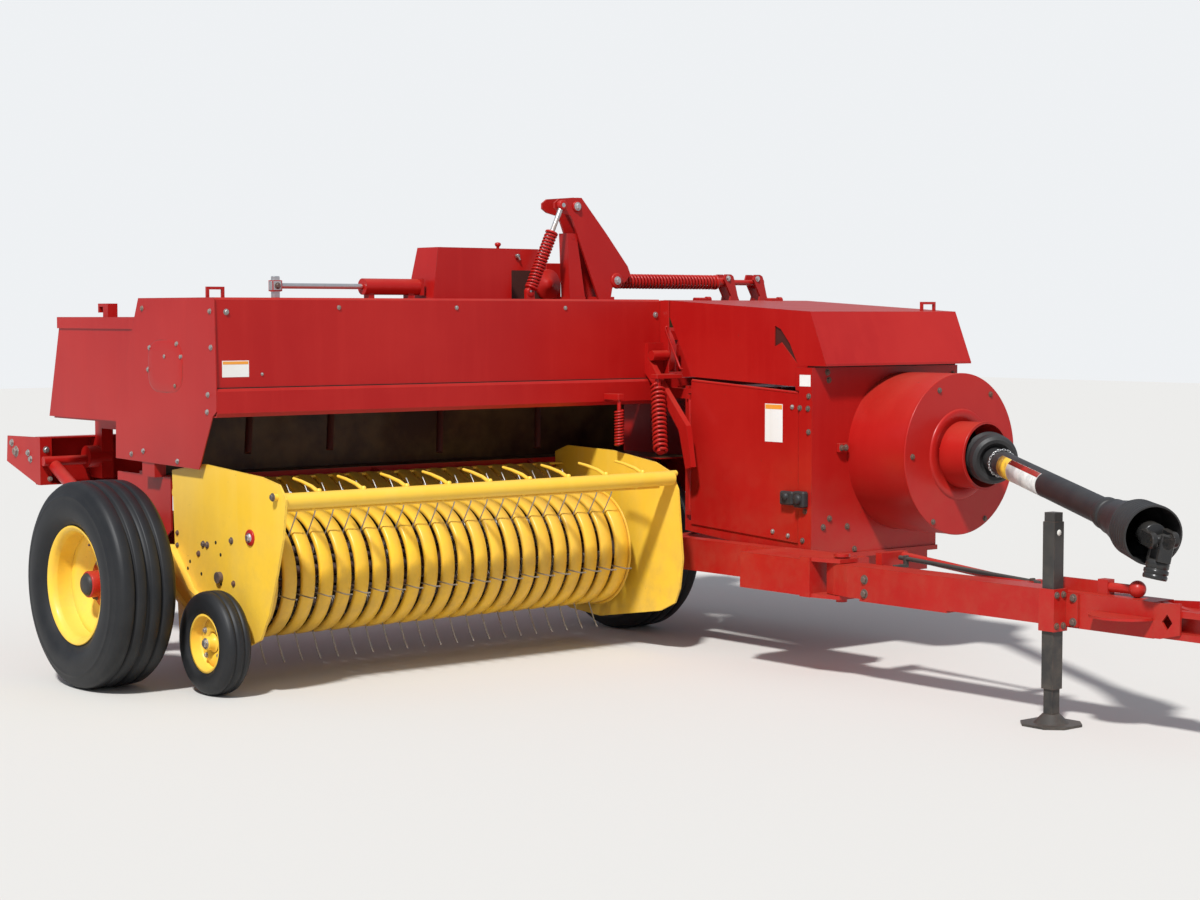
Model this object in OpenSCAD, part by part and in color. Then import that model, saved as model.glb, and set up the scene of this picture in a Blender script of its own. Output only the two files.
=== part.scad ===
// Square baler with a side feeder, a floating pickup and a swinging drawbar.
// X points to the machine's left, Y to its rear and Z up. Lengths are laid out from the middle
// of the bale chamber (x), the wheel axle (y) and the ground (z); placed() then moves
// everything so that the origin is under the middle of the outline.

/* [Main wheels] */
// Outside diameter of the right tyre
right_tyre_d = 720; // [700:1:726]
// Width of the right tyre
right_tyre_w = 250; // [240:1:256]
// Outside diameter of the left tyre
tyre_d = 690; // [680:1:700]
// Width of the left tyre
tyre_w = 241; // [230:1:246]
// Middle of the right wheel from the chamber
right_wheel_x = -2788; // [-2800:1:-2784]
// Middle of the left wheel from the chamber
left_wheel_x = -395; // [-400:1:-393]
// Diameter of the wheel spindles
spindle_d = 50; // [40:1:60]
// Running clearance of a turning fit, on the diameter
run_clear = 0.1; // [0.06:0.01:0.16]

/* [Pickup] */
// Outer face of the right side plate
pickup_right_x = -2484; // [-2486:1:-2480]
// Outer face of the left side plate
pickup_left_x = -740; // [-744:1:-736]
// Thickness of the side plates
pickup_plate_t = 8; // [6:1:9]
// Height of the reel's axis
reel_z = 385; // [383:1:390]
// Outside radius of the stripper bands
stripper_r = 220; // [216:1:224]
// Number of stripper bands
stripper_n = 20; // [18:1:20]
// Width of a stripper band
stripper_w = 54; // [44:1:55]
// Radius at the tips of the tines
tine_r = 320; // [300:1:322]
// Number of tine bars
tine_bars = 6; // [4:1:6]
// Wire diameter of a tine
tine_d = 6; // [5:0.5:8]
// Diameter of the wind guard's pipe
guard_d = 56; // [50:1:58]
// Number of wind guard rods
guard_rods = 9; // [7:1:10]
// Outside diameter of the gauge wheel
gauge_d = 356; // [350:1:358]

/* [Feeder] */
// Height of the hood's flat top
hood_top_z = 1352; // [1350:1:1356]
// Right end of the hood
hood_right_x = -2508; // [-2510:1:-2506]
// Left end of the hood
hood_left_x = -488; // [-492:1:-486]
// Thickness of the hood and cover sheets
sheet_t = 4; // [3:0.5:5]

/* [Front housing] */
// Right face of the front housing
housing_right_x = -480; // [-482:1:-478]
// Left face of the front housing
housing_left_x = 317; // [315:1:325]
// Front face of the front housing
housing_front_y = -1174; // [-1176:1:-1172]
// Outside radius of the flywheel guard
drum_r = 302; // [296:1:304]
// Height of the flywheel and its shaft
drum_z = 771; // [768:1:774]

/* [Drawbar] */
// Width of the drawbar beam
tongue_w = 100; // [90:1:104]
// Height of the drawbar beam
tongue_h = 112; // [100:1:114]
// Diameter of the pin that the drawbar swings on
pivot_d = 40; // [36:1:44]
// Diameter of the hitch pin hole
hitch_d = 26; // [22:1:30]
// Side of the jack's outer tube
jack_w = 46; // [44:1:48]

/* [Bale chamber] */
// Inside width of the chamber
bale_w = 457; // [455:1:460]
// Inside height of the chamber
bale_h = 356; // [352:1:358]
// Rear end of the bale chute
chute_end_y = 2100; // [2050:10:2200]

/* [Hidden] */
$fn = 48;
e = 0.2;

RED = [0.68, 0.10, 0.09];
YELLOW = [0.93, 0.72, 0.16];
BLACK = [0.08, 0.08, 0.08];
STEEL = [0.60, 0.60, 0.60];

// Outline of the whole machine
hitch_front_y = -3290;
mid_x = (right_wheel_x - right_tyre_w / 2 + housing_left_x) / 2;
mid_y = (hitch_front_y + chute_end_y) / 2;

// Wheels
wheel_z = tyre_d / 2;
right_wheel_z = right_tyre_d / 2;
bead_r = 186;
rim_half = 101;
bead_half = rim_half - 12;
hub_r = 58;
hub_len = 130;

// Pickup
pivot_y = 30;
pivot_z = 660;
pivot_tube_d = 42;
reel_y = -297;
tine_bar_r = 118;
gauge_x = -2568;
gauge_y = -403;
gauge_w = 104;
guard_y = -687;
guard_z = 672;
pick_in_r = pickup_right_x + pickup_plate_t;
pick_in_l = pickup_left_x - pickup_plate_t;
// Middles of the first and last band from the side plates, and width of the two end bands
strip_right = 143;
strip_left = 180;
end_band_w = 64;
strip_pitch = (pick_in_l - strip_left - pick_in_r - strip_right) / (stripper_n - 1);
strip_x0 = pick_in_r + strip_right;
// Inner radius of the pan behind the reel
pan_r = tine_r + 12;

// Feeder
hood_front_y = -310;
hood_rear_y = 231;
// Ends of the tower's spring rod
tower_foot = [-975, -90, 1380];
tower_eye = [-812, -90, 1725];
lid_hinge_x = [-2270, -1600];
lid_hinge_y = 252;
lid_hinge_z = 1277;
lip_top_z = 1038;
lip_low_z = 939;
floor_front_y = 75;
floor_z = 715;

// Bale chamber
floor_top = 646;
wall_t = 6;
wall_x = bale_w / 2 + wall_t;
// Room between the left tyre and the needle guard's plates, and the plates' thickness
tyre_gap = 8.5;
guard_t = 8;
needle_x = -left_wheel_x - tyre_w / 2 - tyre_gap - guard_t / 2;
roof_z = floor_top + bale_h;
rail_start_y = 860;
chamber_front_y = -740;

// Front housing
seam_z = 1020;
seam_gap = 8;
hood_nose_y = -1152;
// Lower edge of the hood's slope, and the step in its sides behind the corner posts
hood_low_z = 1108;
hood_step_y = -1092;
hinge_y = -304;
hinge_z = 1352;
door_rear_y = -492;
door_front_y = -1098;
door_low_z = 486;

// Drawbar
pin_x = -725;
pin_y = -1565;
tongue_z = 367;
tongue_rear_y = -1640;
tongue_front_y = -2935;
jack_y = -2575;
jack_x = pin_x - tongue_w / 2 - jack_w / 2 - 12;

// Power shaft, from the flywheel's nose to its front end
collar_y = -1594;
joint_z = drum_z;
joint_r = 35;
pto_dx = -816;
pto_dy = -1426;
pto_dz = -160;
// Lean of the hanging yoke toward the machine's right
yoke_lean = 12;
pto_yaw = atan2(-pto_dx, -pto_dy);
pto_pitch = atan2(-pto_dz, norm([pto_dx, pto_dy]));
pto_len = norm([pto_dx, pto_dy, pto_dz]);

// Moves the drawing datum to the middle of the machine's outline
module placed() translate([-mid_x, -mid_y, 0]) children();

// Block between two corners
module block(x0, x1, y0, y1, z0, z1) translate([x0, y0, z0]) cube([x1 - x0, y1 - y0, z1 - z0]);

// Round bar between two points
module rod(p, q, d) {
    v = q - p;
    translate(p) rotate([0, acos(v[2] / norm(v)), atan2(v[1], v[0])]) cylinder(d = d, h = norm(v));
}

// Round bar along X
module rod_x(x0, x1, y, z, d)
    translate([x0, y, z]) rotate([0, 90, 0]) cylinder(d = d, h = x1 - x0);

// Plate that faces sideways, drawn as [y, z] points
module side_plate(x, t, points)
    translate([x, 0, 0]) rotate([90, 0, 90]) linear_extrude(t) polygon(points);

// Plate that faces forward, drawn as [x, z] points, its rear face at y
module front_plate(y, t, points)
    translate([0, y, 0]) rotate([90, 0, 0]) linear_extrude(t) polygon(points);

// Coil spring between two points, as its closed outer shape with one groove for each turn
module spring_body(p, q, d, wire, turns) {
    v = q - p;
    pitch = norm(v) / turns;
    translate(p) rotate([0, acos(v[2] / norm(v)), atan2(v[1], v[0])]) rotate_extrude($fn = 36)
        difference() {
            square([d / 2, norm(v)]);
            for (i = [0 : turns - 2])
                translate([d / 2, (i + 1) * pitch]) circle(d = wire, $fn = 16);
        }
}

// Points of an arc in a plate's own plane
function arc(cy, cz, r, a0, a1, n) = [for (i = [0 : n])
    let (a = a0 + (a1 - a0) * i / n) [cy + r * cos(a), cz + r * sin(a)]];

// Wheels

// Ribbed implement tyre round the X axis, its middle at the origin
module main_tyre(d, w, hole_r) rotate([0, 90, 0]) rotate_extrude($fn = 96) difference() {
    r = d / 2;
    shoulder = 34;
    union() {
        translate([hole_r, -bead_half]) square([r - hole_r - 2, 2 * bead_half]);
        translate([hole_r + 54, -w / 2]) square([r - hole_r - 54 - shoulder, w]);
        for (s = [-1, 1]) {
            translate([r - shoulder - 2, s * (w / 2 - shoulder)]) circle(shoulder);
            translate([hole_r + 54, s * (w / 2 - 30)]) circle(30);
        }
        translate([r - 8, -w / 2 + 52]) square([8, w - 104]);
    }
    for (x = [-46, 0, 46]) translate([r - 12, x - 5]) square([20, 10]);
    translate([0, -w]) square([hole_r, 2 * w]);
}

// Deep dished wheel disc with its hub, its outer side toward -X
module main_rim(flip) mirror([flip, 0, 0]) rotate([0, 90, 0]) difference() {
    rotate_extrude($fn = 96) {
        polygon([[bead_r - 9, -rim_half], [bead_r + 22, -rim_half], [bead_r + 22, -rim_half + 5],
            [bead_r - e, -rim_half + 10], [bead_r - e, rim_half - 10],
            [bead_r + 22, rim_half - 5], [bead_r + 22, rim_half], [bead_r - 9, rim_half]]);
        polygon([[hub_r - 4, 4], [110, 4], [140, -24], [bead_r - 8, -24], [bead_r - 8, -16],
            [143, -16], [114, 14], [hub_r - 4, 14]]);
        translate([spindle_d / 2 + run_clear / 2, -62])
            square([hub_r - spindle_d / 2 - run_clear / 2, hub_len]);
        translate([0, -92]) square([34, 18]);
        translate([0, -74]) square([hub_r, 13]);
    }
    for (a = [0 : 60 : 300]) rotate([0, 0, a + 30]) translate([152, 0, -40]) cylinder(d = 24, h = 40);
}

module right_tyre() placed() color(BLACK) translate([right_wheel_x, 0, right_wheel_z])
    main_tyre(right_tyre_d, right_tyre_w, bead_r);

module right_rim() placed() color(YELLOW) translate([right_wheel_x, 0, right_wheel_z]) main_rim(0);

module left_tyre() placed() color(BLACK) translate([left_wheel_x, 0, wheel_z])
    main_tyre(tyre_d, tyre_w, bead_r);

module left_rim() placed() color(YELLOW) translate([left_wheel_x, 0, wheel_z]) main_rim(0);

module gauge_tyre() placed() color(BLACK) translate([gauge_x, gauge_y, gauge_d / 2])
    rotate([0, 90, 0]) rotate_extrude($fn = 72) difference() {
        union() {
            translate([102, -gauge_w / 2 + 8]) square([52, gauge_w - 16]);
            translate([112, -gauge_w / 2]) square([24, gauge_w]);
            for (s = [-1, 1]) translate([gauge_d / 2 - 34, s * (gauge_w / 2 - 30)]) circle(30);
            translate([gauge_d / 2 - 40, -gauge_w / 2 + 30]) square([40, gauge_w - 60]);
        }
        translate([0, -gauge_w]) square([102, 2 * gauge_w]);
    }

module gauge_rim() placed() color(YELLOW) translate([gauge_x, gauge_y, gauge_d / 2])
    rotate([0, 90, 0]) rotate_extrude($fn = 72) {
        translate([92, -40]) square([10 - e, 80]);
        translate([30, -14]) square([63, 5]);
        translate([12.5 + run_clear / 2, -34]) square([20, 68]);
    }

// Frame and axle

module main_frame() placed() color(RED) difference() {
    union() {
        for (s = [-1, 1]) translate([s * 195, 0, 0])
            block(-40, 40, -1100, 1500, 562, 640);
        for (y = [-1100, -420, 560, 1300]) block(-160, 160, y, y + 80, 570, 636);
        // Deep channel that carries the drawbar's pivot
        block(-560, -500, -1480, -380, 296, 420);
        block(-520, 235, -1090, -1010, 290, 370);
        for (s = [-1, 1]) block(s * 195 - 40, s * 195 + 40, -1090, -1010, 360, 562);
        block(-520, -155, -460, -380, 330, 420);
        block(-235, -155, -460, -380, 400, 562);
        // Pivot ears above and below the drawbar, and their web
        block(-800, -560, -1480, -1120, 300, 430);
        for (z = [296, 424]) translate([0, 0, z]) {
            block(-800, -640, -1480, -1430, 0, 14);
            linear_extrude(14) polygon([[-800, -1440], [-640, -1440], [-680, -1600], [-770, -1600]]);
        }
    }
    translate([pin_x, pin_y, 200]) cylinder(d = pivot_d + run_clear, h = 300);
}

module axle() placed() color(RED) {
    block(-2640, 235, 370, 490, 430, 550);
    for (s = [-1, 1]) block(s * 195 - 40, s * 195 + 40, 370, 490, 545, 562);
    // Arm and spindle of the right wheel
    block(-2640, -2580, -60, 490, 290, 470);
    rod_x(right_wheel_x - 60, -2640, 0, right_wheel_z, spindle_d);
    rod_x(right_wheel_x + hub_len / 2 + 8, -2640, 0, right_wheel_z, spindle_d + 30);
    // Bracket and spindle of the left wheel
    block(-255, -175, -70, 70, 285, 562);
    block(-255, -175, 70, 490, 450, 562);
    rod_x(left_wheel_x - 60, -255, 0, wheel_z, spindle_d);
    rod_x(left_wheel_x + hub_len / 2 + 8, -255, 0, wheel_z, spindle_d + 30);
}

module rear_beam() placed() color(RED) {
    left = -wall_x - 0.7;
    // Channel with its open side to the front, and its end plate
    block(-2472, left, 1164, 1170, 621, 810);
    for (z = [621, 804]) block(-2472, left, 1116, 1168, z, z + 6);
    block(-2472, -2428, 1116, 1122, 621, 810);
    side_plate(-2478, 7, [[1116, 810], [1116, 621], [1140, 621], [1421, 702], [1412, 805]]);
    // Tube with a clamp, and the strut to the axle
    rod_x(-2474, -2200, 1100, 716, 38);
    rod_x(-2290, -2195, 1100, 727, 88);
    block(-2280, -2205, 1100, 1166, 702, 752);
    rod([-2425, 1112, 703], [-2484, 505, 487], 50);
    block(-2510, -2460, 490, 520, 440, 530);
    // Posts under the twine box
    for (x = [-2215, -1450]) {
        block(x - 25, x + 25, 1060, 1166, 640, 800);
        block(x - 25, x + 25, 700, 1116, 840, 893);
        block(x - 25, x + 25, 1060, 1116, 790, 893);
    }
    // Stays to the axle
    for (x = [-1900, -800]) {
        block(x - 20, x + 20, 440, 1166, 640, 690);
        block(x - 20, x + 20, 440, 480, 550, 690);
    }
}

// Bale chamber

module bale_chamber() placed() color(RED) {
    difference() {
        union() {
            block(-wall_x, wall_x, chamber_front_y, 1700, floor_top - wall_t, floor_top);
            for (s = [-1, 1]) {
                x = s * (bale_w / 2 + wall_t / 2);
                block(x - wall_t / 2, x + wall_t / 2, chamber_front_y, rail_start_y,
                    floor_top - wall_t, roof_z + wall_t);
                block(x - wall_t / 2, x + wall_t / 2, rail_start_y - 10, 1700,
                    floor_top - wall_t, floor_top + 90);
                // Upright ribs
                for (y = [-720, 300, 820])
                    block(x - (s < 0 ? 18 : 0), x + (s > 0 ? 18 : 0), y, y + 40, 640, roof_z);
            }
            block(-wall_x, wall_x, chamber_front_y, 600, roof_z, roof_z + wall_t);
        }
        block(-300, -200, -300, 225, floor_z, roof_z - 20);
        // Slots for the needles
        for (x = [-115, 95]) block(x, x + 20, 120, 560, 600, 700);
    }
}

module tension_rails() placed() color(RED) {
    for (s = [-1, 1]) {
        block(s * 130 - 45, s * 130 + 45, 600, 2000, roof_z + 12, roof_z + 22);
        block(s * 130 - 5, s * 130 + 5, 600, 2000, roof_z + 20, roof_z + 70);
        x = s * (wall_x + 5);
        block(x - 5, x + 5, rail_start_y + 10, 2000, 815, 920);
        block(x - 5, x + 5, 1500, 1560, floor_top + 20, roof_z + 140);
    }
    for (y = [640, 1500]) block(-wall_x - 13, wall_x + 13, y, y + 60, roof_z + 60, roof_z + 100);
    for (s = [-1, 1]) block(s * (wall_x - 3) - 5, s * (wall_x - 3) + 5, 640, 700,
        roof_z + wall_t, roof_z + 100);
    // Cross bar, screws and crank handle that squeeze the rails
    block(-wall_x - 13, wall_x + 13, 1500, 1560, roof_z + 130, roof_z + 190);
    for (s = [-1, 1]) {
        rod([s * 130, 1530, roof_z + 95], [s * 130, 1530, roof_z + 330], 22);
        spring_body([s * 130, 1530, roof_z + 189], [s * 130, 1530, roof_z + 290], 48, 8, 7);
        rod([s * 130, 1530, roof_z + 325], [s * 130 - s * 90, 1530, roof_z + 325], 16);
        rod([s * 130 - s * 85, 1530, roof_z + 325], [s * 130 - s * 85, 1530, roof_z + 350], 18);
    }
}

module bale_chute() placed() color(RED) {
    block(-wall_x, wall_x, 1706, chute_end_y, floor_top - 26, floor_top - 20);
    for (s = [-1, 1]) block(s * 232 - 3, s * 232 + 3, 1706, chute_end_y, floor_top - 26, floor_top + 60);
    for (s = [-1, 1]) block(s * 100 - 15, s * 100 + 15, 1600, 1760, floor_top - 32, floor_top - 26);
    for (s = [-1, 1]) block(s * 100 - 15, s * 100 + 15, 1600, 1700, floor_top - 28, floor_top - 6);
    x = wall_x - 5 - e;
    for (s = [-1, 1]) rod([s * x, 2060, floor_top + 40], [s * x, 1650, roof_z - 100], 10);
}

module knotter_stand() placed() color(RED) {
    for (s = [-1, 1]) block(s * 218 - 5, s * 218 + 5, 250, 560, roof_z + wall_t, 1240);
    block(-222, 222, 380, 430, 1180, 1220);
    rod_x(-223, 300, 405, 1130, 45);
    for (x = [-120, 90]) {
        rod_x(x, x + 30, 405, 1130, 240);
        rod([x + 60, 350, roof_z + 20], [x + 60, 350, 1160], 60);
        block(x - 10, x + 80, 300, 400, roof_z + wall_t, roof_z + 40);
    }
    rod_x(240, 290, 405, 1130, 260);
    // Metering wheel's arm and shaft
    rod_x(-60, 60, 790, 1010, 120);
    block(-20, 20, 440, 800, 1030, 1060);
    block(-20, 20, 420, 460, 1030, 1200);
}

module needle_guard() placed() color(RED) {
    for (s = [-1, 1]) {
        x = s * needle_x;
        side_plate(x - guard_t / 2, guard_t, [[-30, 700], [-30, 640], [330, 250], [420, 250],
            [420, 300], [60, 700]]);
        rod_x(s > 0 ? wall_x + e : x, s > 0 ? x : -wall_x - e, 20, 670, 40);
    }
    rod_x(-needle_x, needle_x, 380, 275, 50);
    for (x = [-105, 105]) side_plate(x - 6, 12, concat(arc(560, 560, 330, 240, 175, 8),
        arc(560, 560, 300, 175, 240, 8)));
}

// Feeder

module feeder_housing() placed() color(RED) {
    right = pickup_right_x + 20;
    left = -wall_x;
    wall_y = hood_rear_y - sheet_t - wall_t;
    block(right, left, floor_front_y, wall_y + wall_t, floor_z - 6, floor_z);
    block(hood_left_x + 60, left, -250, floor_front_y + 5, floor_z - 6, floor_z);
    // Rear wall with its stiffening channel
    block(right, left, wall_y, wall_y + wall_t, floor_z - 6, hood_top_z - sheet_t);
    block(right, left, wall_y + wall_t, wall_y + 29, 730, 780);
    // Side wall beside the pickup
    block(hood_right_x + sheet_t, right + 6, 130, wall_y + 1, floor_z - 6, 960);
    // Flange under the floor's front edge, and the sheet between its right end and the axle
    block(right, -560, floor_front_y, floor_front_y + 4, 655, floor_z - 5);
    side_plate(right - 6, 7, [[floor_front_y, floor_z - 3], [floor_front_y, 520], [190, 440],
        [370 - e, 440], [370 - e, 550 + e], [480, 550 + e], [480, floor_z - 3]]);
    // Beam above the feeder's opening
    block(hood_right_x + 30, left, -250, -200, 1240, 1320);
    for (x = [hood_right_x + 30, hood_left_x + 8]) block(x, x + 40, -250, wall_y + 1, 1270, 1320);
    // Brackets that carry the pickup's pivot
    for (x = [-2380, -1610, -860]) difference() {
        union() {
            side_plate(x, 20, [[pivot_y, pivot_z - 30], [pivot_y, pivot_z + 26], [floor_front_y, 709],
                [480, 709], [480, 550], [400, 550], [380, 640]]);
            rod_x(x, x + 20, pivot_y, pivot_z, 60);
        }
        rod_x(x - 5, x + 25, pivot_y, pivot_z, pivot_tube_d + run_clear);
    }
}

// Feeder teeth of its carriage; columns: place along the feeder, length
FEEDER_TEETH = [[-2150, 400], [-1800, 400], [-1300, 430], [-820, 430]];

module feeder_tines() placed() color(STEEL) {
    block(-2440, -300, 60, 120, 1180, 1240);
    for (row = FEEDER_TEETH) {
        rod([row[0], 90, 1190], [row[0], 60, 1190 - row[1] * 0.6], 34);
        rod([row[0], 60, 1190 - row[1] * 0.6], [row[0] - 40, 10, 1190 - row[1]], 26);
    }
    wall_y = hood_rear_y - sheet_t - wall_t;
    for (x = [-2300, -700]) block(x - 20, x + 20, 110, wall_y, 1190, 1230);
}

module feeder_hood() placed() color(RED) {
    t = sheet_t;
    side_plate(hood_right_x + t, hood_left_x - hood_right_x - t,
        [[hood_front_y, lip_top_z], [hood_front_y, hood_top_z - 8],
        [hood_front_y + 8, hood_top_z], [hood_rear_y, hood_top_z],
        [hood_rear_y, hood_top_z - 20], [hood_rear_y - t, hood_top_z - 20],
        [hood_rear_y - t, hood_top_z - t], [hood_front_y + 10, hood_top_z - t],
        [hood_front_y + t, hood_top_z - 10], [hood_front_y + t, lip_top_z]]);
    // Lifting loop
    for (x = [-2470, -2410]) block(x, x + 10, -200, -190, hood_top_z, hood_top_z + 30);
    block(-2470, -2400, -200, -190, hood_top_z + 28, hood_top_z + 38);
    for (x = [-2000, -1485, -970]) block(x - 20, x + 20, hood_front_y + t, -250, 1250, 1310);
}

module hood_lip() placed() color(RED) {
    t = sheet_t;
    y = hood_front_y;
    side_plate(hood_right_x + t, hood_left_x - hood_right_x - t,
        [[y - 8, lip_top_z], [y - 14, lip_top_z - 10], [y - 14, lip_low_z + 14], [y - 6, lip_low_z],
        [y + 40, lip_low_z], [y + 40, lip_low_z + t], [y - 4, lip_low_z + t],
        [y - 14 + t, lip_low_z + 16], [y - 14 + t, lip_top_z - 12], [y - 5, lip_top_z - t],
        [y + 20, lip_top_z - t], [y + 20, lip_top_z]]);
}

module hood_end_panel() placed() color(RED)
    side_plate(hood_right_x, sheet_t, [[231, 1352], [413, 949], [418, 765], [-200, 755],
        [-297, 941], [-324, 960], [-324, 1036], [-316, 1346], [-310, 1352]]);

module twine_box() placed() color(RED) {
    difference() {
        side_plate(-2496, 1096, [[262, 900], [262, 1280 - e], [886, 1280 - e], [990, 900]]);
        side_plate(-2492, 1088, [[266, 904], [266, 1300], [880, 1300], [986, 904]]);
    }
    block(-2480, -1420, 262, 980, 893, 900);
    // Ears of the lid's hinges
    for (x = lid_hinge_x, s = [-1, 1]) difference() {
        x0 = x + s * 33.5 - 3.3;
        union() {
            rod_x(x0, x0 + 6.6, lid_hinge_y, lid_hinge_z, 16);
            block(x0, x0 + 6.6, lid_hinge_y, 263, lid_hinge_z - 7, lid_hinge_z + 3);
        }
        rod_x(x0 - 5, x0 + 12, lid_hinge_y, lid_hinge_z, 5 + run_clear);
    }
}

module twine_lid() placed() color(RED) {
    difference() {
        block(-2501, -1391, 262, 903, 1240, 1283);
        block(-2498.5, -1393.5, 240, 900, 1230, 1280);
    }
    for (x = lid_hinge_x) {
        rod_x(x - 30, x + 30, lid_hinge_y, lid_hinge_z, 12);
        rod_x(x - 36, x + 36, lid_hinge_y, lid_hinge_z, 5);
        block(x - 30, x + 30, lid_hinge_y, 264, 1280, 1283);
    }
    // Small hook on the lid
    block(-2440, -2400, 600, 640, 1282, 1330);
    block(-2440, -2400, 600, 680, 1322, 1334);
    block(-2440, -2400, 670, 680, 1300, 1334);
}

// Front housing

module gear_housing() placed() color(RED) {
    t = sheet_t;
    front = housing_front_y;
    right = housing_right_x;
    left = housing_left_x;
    top = seam_z - seam_gap;
    low_z = hood_low_z;
    difference() {
        union() {
            front_plate(front + t, t, [[right, 378], [190, 378], [190, 560], [left, 560],
                [left, top], [right, top]]);
            block(right + t + 6, left - t - 6, front, front + t, top - 1, low_z - 12);
            block(right - 14, 190, front - 10, front, 378, 396);
            // Left wall
            side_plate(left - t, t, [[front, 560], [front, top], [-330, top], [-330, 560]]);
            // Post in front of the door, its tall outer face, and the post behind the door
            block(right - 10, right + t, front, door_front_y - 6, 378, top);
            block(right - 10, right - 6, front, hood_step_y + 6, top - 1, low_z - 12);
            block(right - 10, right + t + 7, front, front + t, top - 1, low_z - 12);
            block(right, right + 30, door_front_y - 6, door_front_y + 20, 430, top);
            block(right, right + 30, door_rear_y + 20, door_rear_y + 36, 440, top);
            for (z = [502, 960 + e])
                block(right - 9, right + 9, door_rear_y, door_rear_y + 22, z, z + 18 - e);
            // Bottom edge and top rail
            side_plate(right + 1, t, [[front, 378], [front, 430], [door_rear_y + 36, 482],
                [door_rear_y + 36, 440]]);
            block(right + 2, right + 40, front, door_rear_y + 36, seam_z - 38, seam_z - 20);
            // Inner frame
            block(right + 10, left - 2, front, front + 50, 960, 1000);
            block(right + 20, right + 60, door_rear_y, -250, 960, 1000);
            block(right + 20, left - t - 6, -340, -290, roof_z + wall_t, 1040);
            block(right + 20, right + 60, -340, -290, 960, 1040);
            for (s = [-1, 1]) block(s * (wall_x - 3) - 3, s * (wall_x - 3) + 3, front + 1,
                chamber_front_y, 640, 960);
            // Posts of the hood's hinges
            for (x = [-236, 164]) {
                block(x, x + 20, -312, -290, 1030, hinge_z);
                rod_x(x, x + 20, hinge_y, hinge_z, 26);
            }
        }
        translate([0, front - 20, drum_z]) rotate([-90, 0, 0]) cylinder(d = 80, h = 100);
        for (x = [-236, 164]) rod_x(x - 5, x + 25, hinge_y, hinge_z, 8 + run_clear);
        translate([right - 1, door_rear_y + 8, 490]) cylinder(d = 8 + run_clear, h = 500);
    }
}

module side_door() placed() color(RED) {
    x = housing_right_x - sheet_t - 1;
    side_plate(x, sheet_t, [[door_rear_y - 4, door_low_z - 18], [door_rear_y - 4, seam_z + 14],
        [door_front_y, seam_z - 20], [door_front_y, door_low_z - 48]]);
    translate([x + 4, door_rear_y + 8, 520]) cylinder(d = 16, h = 440);
    translate([x + 4, door_rear_y + 8, 504]) cylinder(d = 8, h = 472);
    for (z = [540, 720, 900]) block(x, x + 4, door_rear_y - 5, door_rear_y + 8, z, z + 60);
}

module front_hood() placed() color(RED) {
    t = sheet_t;
    rear = -322;
    nose = hood_nose_y;
    low_z = hood_low_z;
    low_y = -1236;
    step = hood_step_y;
    top = [[rear, 1350], [nose, 1304], [low_y, low_z]];
    inner = [[low_y + t + 1, low_z], [nose + t, 1304 - t], [rear, 1350 - t]];
    side_plate(housing_right_x, housing_left_x - housing_right_x, concat(top, inner));
    for (x = [housing_right_x, housing_left_x - t]) difference() {
        side_plate(x, t, [[rear, 1349], [nose, 1303], [low_y, low_z], [low_y, low_z - 6],
            [step - 48, low_z - 6], [step - 6, seam_z + 3], [-490, seam_z + 28]]);
        // Cut behind the corner post of the right side
        if (x < 0) side_plate(x - 1, t + 2, [[-963, 1251], [-963, 1172], [-1000, 1188],
            [-1040, 1150], [-1086, 1108], [-1045, 1183], [-995, 1238]]);
    }
    block(housing_right_x, housing_left_x, low_y, low_y + t, low_z - 6, low_z + 2);
    // Handle loop
    for (x = [180, 250]) block(x, x + 10, -1100, -1090, 1300, 1340);
    block(180, 260, -1100, -1090, 1332, 1342);
    // Hinge straps with their pins
    for (x = [-300, 100]) {
        block(x, x + 60, rear - 20, hinge_y, 1347, 1356);
        rod_x(x, x + 60, hinge_y, hinge_z, 18);
        rod_x(x + 59, x + 86, hinge_y, hinge_z, 8);
    }
}

module gearbox() placed() color(STEEL) {
    difference() {
        block(-200, 200, -1100, -760, 640, 960);
        translate([0, -1110, drum_z]) rotate([-90, 0, 0]) cylinder(d = 60 + run_clear, h = 60);
    }
}

module flywheel_guard() placed() color(RED) translate([0, housing_front_y, drum_z])
    rotate([90, 0, 0]) rotate_extrude($fn = 96) {
        translate([drum_r - 5, 0]) square([5, 293]);
        translate([118, 288]) square([drum_r - 118, 5]);
        translate([118, 288]) square([6, collar_len]);
        translate([drum_r - 40, 0]) square([38, 4]);
    }
collar_len = housing_front_y - 288 - collar_y;

module flywheel() placed() color(STEEL) translate([0, housing_front_y, drum_z])
    rotate([90, 0, 0]) {
        translate([0, 0, 60]) cylinder(r = 270, h = 70, $fn = 96);
        translate([0, 0, -115]) cylinder(d = 60, h = 200);
        translate([0, 0, 80]) cylinder(d = 64, h = housing_front_y - collar_y - joint_r - 80 - e);
        translate([0, 0, 125]) cylinder(d = 150, h = 90);
    }

// Springs and linkages on the top

module top_box() placed() color(RED) {
    t = 4;
    top_z = 1551;
    difference() {
        intersection() {
            side_plate(-1400, 382, [[-30, hood_top_z], [-30, top_z], [109, top_z],
                [146, hood_top_z]]);
            front_plate(200, 300, [[-1394, hood_top_z], [-1370, top_z], [-1018, top_z],
                [-1018, hood_top_z]]);
        }
        intersection() {
            side_plate(-1400, 382 - t, [[-30 + t, 1340], [-30 + t, top_z - t], [109 - t, top_z - t],
                [149 - t, 1340]]);
            front_plate(200, 300, [[-1391, 1340], [-1370 + t, top_z - t], [-1000, top_z - t],
                [-1000, 1340]]);
        }
    }
    // Plate that reaches behind the tower's spring
    block(-1020, -885, -30, -24, 1466, top_z);
}

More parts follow.
